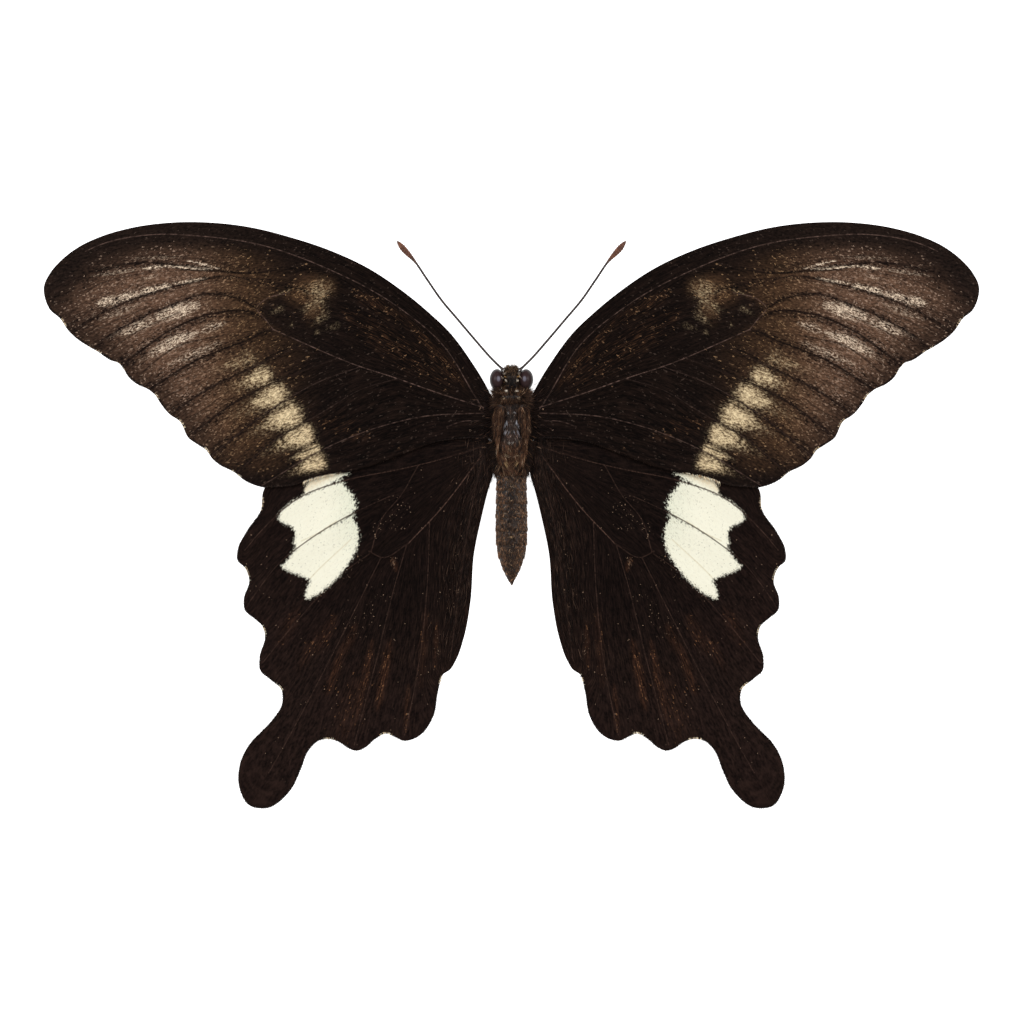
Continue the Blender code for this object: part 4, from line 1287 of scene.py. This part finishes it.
# %% Thorax hair
THORAX_HAIRS = 9600
roots, normals = scatter(thorax.data, THORAX_HAIRS)
x, y = roots.T[:2]
beside = np.sign(x)
upper = normals[:, 2] > 0.2
ridge_x = np.minimum(1.3 + (14.2 - y) * 0.12, 1.68)
away = np.abs(x) - ridge_x + 0.1 * np.sin(y * 1.9) + chance.normal(size=len(x)) * 0.06
bundle = upper & (np.abs(away) < 0.15) & (y > 7.4)
blurred = y + chance.normal(size=len(y)) * 0.4
middle = upper & (np.abs(x) < ridge_x - 0.35) & (blurred > 9.2)
rear = upper & (blurred <= 9.2) & ~bundle
light, lean = tufts(roots, 11)
directions = np.column_stack([0.12 * beside, -np.ones(len(x)), np.zeros(len(x))])
directions += spread(len(x), 0.12) + lean * np.where(rear, 1.6, 0.5)[:, None]
directions[rear, 0] -= 0.45 * beside[rear]
lengths = chance.uniform(0.6, 1.1, len(x))
lengths[bundle] = chance.uniform(1.1, 2.0, bundle.sum())
lengths[middle] = chance.uniform(0.3, 0.65, middle.sum())
widths = chance.uniform(0.045, 0.085, len(x))
lift = chance.uniform(0.05, 0.3, len(x))
lift[bundle] = chance.uniform(0.08, 0.3, bundle.sum())
lift[middle] = chance.uniform(0.02, 0.1, middle.sum())
colours = tints(roots, (5, (52, 35, 27)), (3, (94, 66, 49)), (0.35, (164, 134, 110)))
colours[bundle] = tints(roots[bundle], (4, (84, 58, 43)), (4, (132, 95, 71)), (1.8, (178, 138, 108)),
                        (0.4, (206, 180, 154)))
colours[middle] = tints(roots[middle], (6, (64, 47, 39)), (3, (98, 76, 66)), (0.4, (158, 140, 130)))
colours[rear] = tints(roots[rear], (4, (66, 45, 33)), (4, (110, 78, 58)), (0.5, (178, 146, 116)))
add_coat("thorax_hair", "body_hair", roots, normals, directions, lengths, widths, lift, 0.07,
         colours * light)

# %% [markdown]
# ## Thatch over the joints
# Dark hair spills from the sides of the thorax over the roots of the wings. It hides the place where
# they join the body, and in the photograph it softens the edge between them. It grows from a box of
# points beside the thorax, which is simpler than a skin that nobody would see.

# %% Thatch over the joints of the wings
THATCH_HAIRS = 3000
for word, side in SIDES.items():
    y, x, z = strewn(THATCH_HAIRS, (5.7, 15.8), (1.55, 2.3), (3.7, 5.0)).T
    x = x * (1.0 - ((y - 10.8) / 18.0) ** 2)
    roots = np.column_stack([side * x, y, z])
    light, lean = tufts(roots, 31)
    directions = np.column_stack([np.full(len(y), side * 0.7), chance.uniform(-1.3, -0.2, len(y)),
                                  chance.uniform(-0.1, 0.25, len(y))])
    directions[:, 1] += 1.2 * rise(y, 14.0, 15.6)
    directions[:, 0] *= 0.2 + 0.8 * rise(y, 6.0, 8.6)
    colours = tints(roots, (6, (26, 17, 13)), (3, (50, 34, 26)), (0.4, (112, 84, 64))) * light
    ends = (y > 14.2) | ((y < 6.9) & (x < 1.75))
    colours[ends] = tints(roots[ends], (5, (52, 37, 29)), (4, (86, 63, 49)), (0.5, (140, 112, 90)))
    add_coat(word + "_joint_thatch", "body_hair", roots, up(len(y)), directions + lean, (0.55, 1.2),
             (0.045, 0.08), (-0.1, 0.2), 0.08, colours)

# %% [markdown]
# ## Collar
# The first ring of the thorax is a narrow band behind the head. It is hidden in a ruff of brown hair
# that splays outward, with a few shiny pale scales.

# %% Collar skin
COLLAR_STATIONS = [
    (15.7, 3.8, 0.1, 0.1), (15.65, 3.8, 1.35, 1.2), (15.3, 3.8, 1.65, 1.45), (14.95, 3.8, 1.7, 1.5),
    (14.75, 3.8, 1.4, 1.3), (14.65, 3.8, 0.1, 0.1),
]
collar = add_shape("collar_skin", ring_skin(COLLAR_STATIONS, 0.09, 48), skin_finish, "body_hair",
                   "collar")

# %% Ruff of the collar
COLLAR_HAIRS = 3600
NECK_HAIRS = 2200
roots, normals = scatter(collar.data, COLLAR_HAIRS)
roots = np.vstack([roots, strewn(NECK_HAIRS, (-2.0, 2.0), (14.9, 15.9), (3.9, 4.9))])
normals = np.vstack([normals, up(NECK_HAIRS)])
x, y = roots.T[:2]
light, lean = tufts(roots, 41, 1.0)
directions = np.column_stack([0.4 * x, np.where(y > 15.3, 0.9, -0.9), np.zeros(len(x))])
directions += spread(len(x), 0.25) + lean * 0.5
colours = tints(roots, (5, (48, 34, 26)), (4, (88, 63, 47)), (0.35, (162, 134, 108))) * light
add_coat("collar_ruff", "body_hair", roots, normals, directions, (0.5, 1.0), (0.04, 0.08), (0.2, 0.7),
         0.07, colours)

# %% [markdown]
# ## Head and eyes
# Between the two great eyes the head is a narrow capsule with a brush of hair over the forehead. Two
# pale tufts sit behind the feelers. An eye is one cornea made of thousands of facets: a fine ball of
# triangles is divided once, and the new points are sunk a little, which leaves a dome on each facet.

# %% Head skin
HEAD_STATIONS = [
    (18.85, 3.7, 0.1, 0.1), (18.75, 3.7, 0.6, 0.7), (18.3, 3.8, 0.9, 1.15), (17.4, 3.9, 1.0, 1.45),
    (16.6, 3.9, 1.15, 1.35), (16.1, 3.85, 1.0, 1.0), (15.9, 3.8, 0.1, 0.1),
]
head = add_shape("head_skin", ring_skin(HEAD_STATIONS, 0.11, 44), skin_finish, "body_hair", "head")

# %% Head hair
HEAD_HAIRS = 4200
BROW_HAIRS = 700
BROW_HALF = 0.85
roots, normals = scatter(head.data, HEAD_HAIRS)
x, y = roots.T[:2]
front = y > 17.85
light, lean = tufts(roots, 51, 1.0)
directions = np.column_stack([0.3 * x, np.where(front, 1.0, -0.5), np.zeros(len(x))])
directions += spread(len(x), 0.3) + lean
lengths = np.where(front, chance.uniform(0.4, 0.95, len(x)), chance.uniform(0.25, 0.6, len(x)))
colours = tints(roots, (5, (30, 20, 16)), (4, (60, 43, 32)), (0.6, (118, 90, 64)))
colours[front] = tints(roots[front], (4, (42, 30, 23)), (4, (80, 61, 47)), (1.0, (142, 114, 90)))
parting = (np.abs(x) < 0.5) & (y > 16.5) & (y < 17.8)
colours[parting] = tints(roots[parting], (5, (14, 9, 8)), (1, (40, 28, 22)))
lengths[parting] *= 0.6
brow = strewn(BROW_HAIRS, (-BROW_HALF, BROW_HALF), (18.2, 18.7), (3.6, 4.9))
brow_ways = np.column_stack([0.2 * brow[:, 0], np.ones(BROW_HAIRS), np.zeros(BROW_HAIRS)])
brow_tints = tints(brow, (4, (46, 34, 26)), (4, (86, 66, 50)), (1.2, (146, 118, 92)))
roots, normals = np.vstack([roots, brow]), np.vstack([normals, up(BROW_HAIRS)])
directions = np.vstack([directions, brow_ways + spread(BROW_HAIRS, 0.16)])
rounded = 1.0 - 0.55 * (brow[:, 0] / BROW_HALF) ** 2
lengths[front] *= 0.8
lengths = np.append(lengths, chance.uniform(0.1, 1.0, BROW_HAIRS) ** 2 * 1.1 * rounded + 0.12)
colours, light = np.vstack([colours, brow_tints]), np.vstack([light, np.ones((BROW_HAIRS, 1))])
front = np.append(front, np.zeros(BROW_HAIRS, bool))
widths = chance.uniform(0.035, 0.07, len(roots))
lift = np.where(front, 0.5, 0.25) * chance.uniform(0.5, 1.4, len(roots))
add_coat("head_hair", "body_hair", roots, normals, directions, lengths, widths, lift, 0.06,
         colours * light)

# %% Eyes
EYE_CENTRE = (1.85, 17.5, 3.9)
EYE_HALF = (0.95, 1.35, 1.3)
EYE_DIVISIONS = 5
FACET_DIMPLE = 0.006
TOWARD_LIGHT = (-0.2, 0.06, 0.98)


def eye_mesh(name, side):
    """A glossy ball of small facets, which carries how far each point faces the light, for its painted
    shade and highlight.
    """
    bm = bmesh.new()
    bmesh.ops.create_icosphere(bm, subdivisions=EYE_DIVISIONS, radius=1.0)
    domes = set(bm.verts)
    bmesh.ops.subdivide_edges(bm, edges=bm.edges[:], cuts=1, use_grid_fill=True)
    mirror = np.array([side, 1.0, 1.0])
    centre, toward_light = mirror * EYE_CENTRE, mirror * TOWARD_LIGHT
    light_facing = []
    for vertex in bm.verts:
        ball = np.array(vertex.co.normalized())
        sunk = 1.0 if vertex in domes else 1.0 - FACET_DIMPLE
        vertex.co = Vector((centre + ball * np.array(EYE_HALF) * sunk) * MM)
        light_facing.append(float(ball @ toward_light))
    mesh = bpy.data.meshes.new(name)
    bm.to_mesh(mesh)
    bm.free()
    layer = mesh.attributes.new("light_facing", "FLOAT", "POINT")
    layer.data.foreach_set("value", light_facing)
    mesh.shade_smooth()
    return mesh


for word, side in SIDES.items():
    add_piece(word + "_eye", eye_mesh(word + "_eye", side), eye_finish, "eye", "eye_" + word)

# %% [markdown]
# ## Abdomen
# Eight rings overlap like roof tiles and taper to a point. Short curly scales cover them, pale brown
# along the flanks and darker along the middle of the back.

# %% Abdomen skin
ABDOMEN_AXIS = ((5.2, 3.35), (-8.76, 2.25))
ABDOMEN_PROFILE = [
    (-0.2, 0.1), (-0.15, 1.5), (0.2, 1.8), (1.0, 1.9), (2.0, 1.93), (3.6, 1.96), (6.0, 2.0),
    (8.4, 1.95), (10.2, 1.7), (11.8, 1.18), (13.0, 0.62), (13.6, 0.28), (13.95, 0.05),
]
RING_LENGTH = 1.75
RING_OVERLAP = 0.05
ABDOMEN_LENGTH = 13.96


def abdomen_relief(y, angle):
    """Each ring flares a little towards its hind edge, and the next one starts narrower."""
    within = ((ABDOMEN_AXIS[0][0] - y) / RING_LENGTH) % 1.0
    belly = -0.03 * np.maximum(-np.sin(angle), 0.0)
    return RING_OVERLAP * (within ** 2 - 0.5) + belly


abdomen_stations = []
for depth, radius in ABDOMEN_PROFILE:
    share = depth / ABDOMEN_LENGTH
    (front_y, front_z), (back_y, back_z) = ABDOMEN_AXIS
    abdomen_stations.append((front_y + share * (back_y - front_y), front_z + share * (back_z - front_z),
                             radius, radius * 0.92))
abdomen = add_shape("abdomen_skin", ring_skin(abdomen_stations, 0.1, 56, abdomen_relief), skin_finish,
                    "abdomen_scales", "abdomen")

# %% Abdomen scales
ABDOMEN_HAIRS = 10500
roots, normals = scatter(abdomen.data, ABDOMEN_HAIRS)
x, y = roots.T[:2]
wide = np.interp(-y, [-s[0] for s in abdomen_stations], [s[2] for s in abdomen_stations])
flank = rise(np.abs(x) / wide, 0.1, 0.7)
light, lean = tufts(roots, 61, 1.2)
directions = np.array([0.0, -1.0, 0.0]) + (spread(len(x), 0.26) + lean * 1.5)
back = tints(roots, (5, (52, 37, 29)), (3, (92, 68, 52)), (0.4, (156, 128, 100)))
sides = tints(roots, (3, (78, 55, 41)), (4, (122, 89, 66)), (0.6, (170, 134, 102)))
colours = back * (1 - flank)[:, None] + sides * flank[:, None]
add_coat("abdomen_scale_cover", "abdomen_scales", roots, normals, directions, (0.3, 0.55), (0.05, 0.09),
         (0.02, 0.14), 0.06, colours * light)

# %% [markdown]
# ## Feelers, tongue, palps and legs
# These are thin tubes of chitin made of many short joints. A tube that only tapers looks like wire,
# so its radius is pinched at each joint. The feelers end in a reddish club, the tongue is rolled up
# under the face between two short hairy palps, and the legs are folded under the thorax.

# %% Feelers
ANTENNA_ROUTE = [
    (1.05, 18.7, 4.75), (2.4, 20.0, 4.7), (4.7, 22.6, 4.4), (6.9, 25.2, 4.0), (9.0, 27.7, 3.5),
    (10.8, 30.3, 2.9), (12.6, 32.9, 2.2), (13.7, 34.1, 1.8), (14.7, 35.3, 1.4),
]
SHAFT_RADIUS = 0.16
CLUB_RADIUS = 0.42
CLUB_LENGTH = 4.2
JOINT_LENGTH = 0.36
JOINT_PINCH = 0.14
TIP_RADIUS = 0.03
SOCKET_SWELL = 0.12
FEELER_SIDES = 12


def jointed(distance, joint_length, pinch):
    """A share that the radius keeps, pinched in at each joint."""
    within = (distance / joint_length) % 1.0
    return 1.0 - pinch * np.exp(-(np.minimum(within, 1.0 - within) / 0.16) ** 2)


def mirrored(shape, side):
    """Points and faces for one side, from those of the +X side."""
    points, faces = shape
    if side > 0:
        return points, faces
    return points * np.array([-1.0, 1.0, 1.0]), [face[::-1] for face in faces]


route = smooth_through(ANTENNA_ROUTE, 0.06)
travelled = np.concatenate([[0.0], np.cumsum(np.linalg.norm(np.diff(route, axis=0), axis=1))])
to_tip = travelled[-1] - travelled
club = rise(-to_tip, -CLUB_LENGTH, -CLUB_LENGTH * 0.35)
rounded_tip = np.sqrt(np.clip(to_tip / 1.1, 0.0, 1.0))
radii = SHAFT_RADIUS + (CLUB_RADIUS - SHAFT_RADIUS) * club
radii = radii * jointed(travelled, JOINT_LENGTH, JOINT_PINCH)
radii = np.maximum(radii * rounded_tip, TIP_RADIUS)
radii += SOCKET_SWELL * np.exp(-(travelled / 0.3) ** 2)
feeler = tube(route, radii, FEELER_SIDES)
redness = np.repeat(rise(-to_tip, -CLUB_LENGTH * 1.1, -CLUB_LENGTH * 0.55), FEELER_SIDES)
redness = np.concatenate([redness, [0.0, 1.0]])
for word, side in SIDES.items():
    add_shape(word + "_feeler", mirrored(feeler, side), chitin_finish, "horn", "antenna_" + word,
              {"club": redness})

# %% Tongue
PROBOSCIS_CENTRE = (18.2, 1.35)
PROBOSCIS_COIL = (0.68, 0.2)
PROBOSCIS_TURNS = 1.75
PROBOSCIS_RADIUS = 0.1
turned = np.linspace(0.0, 1.0, 120)
angle = math.pi / 2 - turned * PROBOSCIS_TURNS * 2 * math.pi
radius = PROBOSCIS_COIL[0] + (PROBOSCIS_COIL[1] - PROBOSCIS_COIL[0]) * turned
coil = np.column_stack([np.zeros(len(turned)), PROBOSCIS_CENTRE[0] + radius * np.cos(angle),
                        PROBOSCIS_CENTRE[1] + radius * np.sin(angle)])
coil_radii = PROBOSCIS_RADIUS * (1.0 - 0.45 * turned) * jointed(turned * 7.0, 0.12, 0.12)
tongue = tube(coil, coil_radii, 10, (1.0, 0.0, 0.0))
add_shape("tongue", tongue, chitin_finish, "horn", "proboscis", {"club": np.full(len(tongue[0]), 0.25)})

# %% Palps
PALP_ROUTE = [(0.6, 17.5, 1.8), (0.62, 18.5, 1.85), (0.6, 19.0, 2.4), (0.52, 19.15, 3.1)]
PALP_HAIRS = 700
route = smooth_through(PALP_ROUTE, 0.08)
share = np.linspace(0.0, 1.0, len(route))
palp_shape = tube(route, (0.22 - 0.1 * share) * jointed(share, 0.34, 0.2), 14)
for word, side in SIDES.items():
    palp = add_shape(word + "_palp", mirrored(palp_shape, side), skin_finish, "body_hair", "palp_" + word)
    roots, normals = scatter(palp.data, PALP_HAIRS)
    directions = np.array([0.0, 0.7, 0.6]) + spread(PALP_HAIRS, 0.35)
    add_coat(word + "_palp_hair", "body_hair", roots, normals, directions, (0.1, 0.28), (0.025, 0.045),
             (0.2, 0.6), 0.05, ((3, (50, 37, 28)), (3, (90, 70, 53)), (1, (142, 114, 88))))

# %% Legs
LEG_ROUTES = {
    "fore_leg": [(0.8, 13.6, 0.85), (1.7, 15.4, 0.85), (1.9, 17.2, 0.5), (1.1, 18.6, 0.2)],
    "mid_leg": [(1.1, 10.6, 0.85), (2.3, 9.0, 0.85), (2.0, 5.6, 0.5), (1.4, 2.6, 0.2)],
    "hind_leg": [(0.5, 7.8, 0.85), (1.0, 5.2, 0.7), (0.7, 1.6, 0.45), (0.5, -1.6, 0.2)],
}
THIGH_END = 0.3
SHIN_END = 0.62
FOOT_JOINTS = 5
LEG_BRISTLES = 260
for leg, stops in LEG_ROUTES.items():
    route = smooth_through(stops, 0.07)
    share = np.linspace(0.0, 1.0, len(route))
    thigh = 0.2 - 0.06 * rise(share, 0.0, THIGH_END)
    shin = 0.12 + 0.03 * np.exp(-((share - SHIN_END) / 0.05) ** 2)
    foot = 0.1 * jointed(np.maximum(share - SHIN_END, 0.0), (1.0 - SHIN_END) / FOOT_JOINTS, 0.25)
    radii = np.where(share < THIGH_END, thigh, np.where(share < SHIN_END, shin, foot))
    radii = radii * (1.0 - 0.25 * np.exp(-((share - THIGH_END) / 0.015) ** 2))
    shape = tube(route, radii, 10)
    toward_foot = np.array([0.0, 1.0 if leg == "fore_leg" else -1.0, -0.1])
    for word, side in SIDES.items():
        piece = add_shape(word + "_" + leg, mirrored(shape, side), chitin_finish, "horn",
                          leg + "_" + word, {"club": np.zeros(len(shape[0]))})
        roots, normals = scatter(piece.data, LEG_BRISTLES)
        directions = toward_foot + spread(LEG_BRISTLES, 0.25)
        add_coat(word + "_" + leg + "_bristles", "horn", roots, normals, directions, (0.1, 0.25),
                 (0.02, 0.035), (0.3, 0.8), 0.02, ((4, (36, 28, 24)), (2, (70, 56, 46))))

# %% [markdown]
# ## Shoulder flaps
# A small flap lies over the root of each forewing like a lid. It is a thin oval skin, tilted down and
# outward and combed with long hair of its own, in which two paler strands run back beside the thorax.

# %% Shoulder flaps
TEGULA_STATIONS = [
    (2.0, 0.0, 0.05, 0.03), (1.85, 0.0, 0.4, 0.1), (1.2, 0.0, 0.68, 0.17), (0.0, 0.0, 0.78, 0.2),
    (-1.2, 0.0, 0.6, 0.16), (-1.85, 0.0, 0.25, 0.08), (-2.0, 0.0, 0.05, 0.03),
]
TEGULA_CENTRE = (1.68, 12.3, 5.92)
TEGULA_TILT = math.radians(35.0)
TEGULA_PITCH = math.radians(-9.0)
points, faces = ring_skin(TEGULA_STATIONS, 0.12, 30)
FLAP_HAIRS = 1500
tilt = np.array([[math.cos(TEGULA_TILT), 0.0, math.sin(TEGULA_TILT)], [0.0, 1.0, 0.0],
                 [-math.sin(TEGULA_TILT), 0.0, math.cos(TEGULA_TILT)]])
pitch = np.array([[1.0, 0.0, 0.0], [0.0, math.cos(TEGULA_PITCH), -math.sin(TEGULA_PITCH)],
                  [0.0, math.sin(TEGULA_PITCH), math.cos(TEGULA_PITCH)]])
points = points @ (tilt @ pitch).T + np.array(TEGULA_CENTRE)
for word, side in SIDES.items():
    flap = add_shape(word + "_shoulder_flap", mirrored((points, faces), side), skin_finish, "body_hair",
                     "tegula_" + word)
    roots, normals = scatter(flap.data, FLAP_HAIRS)
    bend = 0.08 * np.sin(roots[:, 1] * 2.3) + chance.normal(size=len(roots)) * 0.05
    strand = np.abs(np.abs(roots[:, 0]) - (1.36 + 0.11 * (13.9 - roots[:, 1])) + bend) < 0.1
    strand |= np.abs(np.abs(roots[:, 0]) - 2.05 + bend) < 0.05
    colours = tints(roots, (6, (44, 30, 23)), (4, (82, 57, 42)), (0.7, (130, 98, 74)))
    colours[strand] = tints(roots[strand], (4, (78, 53, 39)), (4, (124, 88, 65)), (1.2, (184, 148, 118)))
    directions = np.array([side * 0.12, -1.0, 0.0]) + spread(FLAP_HAIRS, 0.14)
    add_coat(word + "_shoulder_hair", "body_hair", roots, normals, directions, (0.6, 1.3),
             (0.045, 0.08), (0.02, 0.12), 0.05, colours)

# %% [markdown]
# ## Bright tufts
# A few tufts are brighter than the rest of the coat: two on the crown, pairs on the collar, the
# bluish pairs on the back and short dashes at the rear of the thorax. Most are pale scales, and the
# bluish grey pairs on the back are a painted sheen, where the grey scales catch the light. They are
# mirror pairs, so each is given once: the place where it grows, the way it points, its length, its
# hairs and its colour.

# %% Bright tufts
TUFT_REACH = 0.4
TUFT_CLEAR = 0.16
# Pale scales, and a painted sheen: the bluish grey pairs along the middle of the back stand for the gloss
# of the grey scales there.
BRIGHT_TUFTS = [
    (0.64, 17.2, 0.3, 1.0, 0.4, 6, (226, 212, 194)), (1.1, 17.85, 0.5, -1.0, 0.22, 5, (226, 206, 184)),
    (0.7, 17.8, 1.0, 0.3, 0.3, 8, (170, 130, 84)), (0.75, 18.3, 1.0, -0.3, 0.4, 8, (150, 134, 120)),
    (0.5, 16.0, 1.0, 0.1, 0.4, 11, (250, 236, 216)), (0.95, 15.95, 1.0, -0.3, 0.4, 8, (160, 124, 90)),
    (0.87, 15.15, 0.6, -0.5, 0.24, 6, (200, 174, 142)), (0.8, 11.9, 0.15, -1.0, 0.9, 4, (190, 188, 194)),
    (0.62, 12.2, -0.1, -1.0, 0.8, 4, (214, 214, 222)), (0.7, 11.0, 0.25, -1.0, 0.8, 4, (170, 166, 172)),
    (0.38, 10.9, 0.2, -1.0, 0.6, 3, (160, 156, 160)), (0.33, 13.3, 0.6, -0.6, 0.3, 5, (176, 170, 170)),
    (0.32, 9.5, -0.6, -1.0, 0.4, 6, (170, 160, 150)), (0.2, 7.65, 1.0, -0.5, 0.3, 5, (150, 130, 108)),
    (0.55, 7.7, 1.0, 0.4, 0.35, 6, (170, 146, 118)), (0.85, 6.9, -0.5, -1.0, 0.9, 7, (170, 138, 100)),
    (0.5, 6.6, 0.8, 0.9, 0.5, 5, (160, 130, 96)), (0.1, 3.9, 0.3, -1.0, 0.25, 4, (180, 156, 130)),
    (0.05, -2.6, 0.6, -0.8, 0.3, 5, (184, 150, 112)), (0.6, 0.3, 0.9, 0.3, 0.5, 4, (140, 122, 104)),
    (3.95, 13.6, 0.5, 1.0, 0.25, 3, (186, 150, 124)), (3.3, 12.9, 1.0, -0.6, 0.5, 2, (120, 96, 80)),
    (3.3, 8.8, 1.0, -0.4, 0.4, 3, (140, 112, 92)),
    (5.2, 10.9, 1.0, 0.6, 0.35, 2, (132, 108, 92)),
]
coats = np.vstack([arrays_of(skin.data)[0] for skin in (thorax, collar, head, abdomen)])
roots, directions, lengths, colours = [], [], [], []
for x, y, dx, dy, length, count, colour in BRIGHT_TUFTS:
    near = coats[np.linalg.norm(coats[:, :2] - np.array([x, y]), axis=1) < TUFT_REACH]
    height = near[:, 2].max() + TUFT_CLEAR if len(near) else arch(np.array([[x, y]]), 0.0)[0] + 0.15
    for side in SIDES.values():
        places = np.tile([side * x, y, height], (count, 1))
        roots.append(places + spread(count, 0.07))
        directions.append(np.array([side * dx, dy, 0.0]) + spread(count, 0.16))
        lengths.append(length * chance.uniform(0.6, 1.2, count))
        colours.append(tints(places, (1, colour)))
roots, directions, colours = np.vstack(roots), np.vstack(directions), np.vstack(colours)
add_coat("bright_tufts", "body_hair", roots, up(len(roots)), directions, np.concatenate(lengths),
         (0.03, 0.06), (0.05, 0.3), 0.03, colours)

# %% [markdown]
# ## Last measures
# A model that is shared has to stay light, so its triangles are counted.

# %% Triangles in all
counts = {piece.name: sum(len(face.vertices) - 2 for face in piece.data.polygons)
          for piece in bpy.data.objects if piece.type == "MESH"}
print("triangles in all:", sum(counts.values()), "most in one piece:", max(counts.values()))
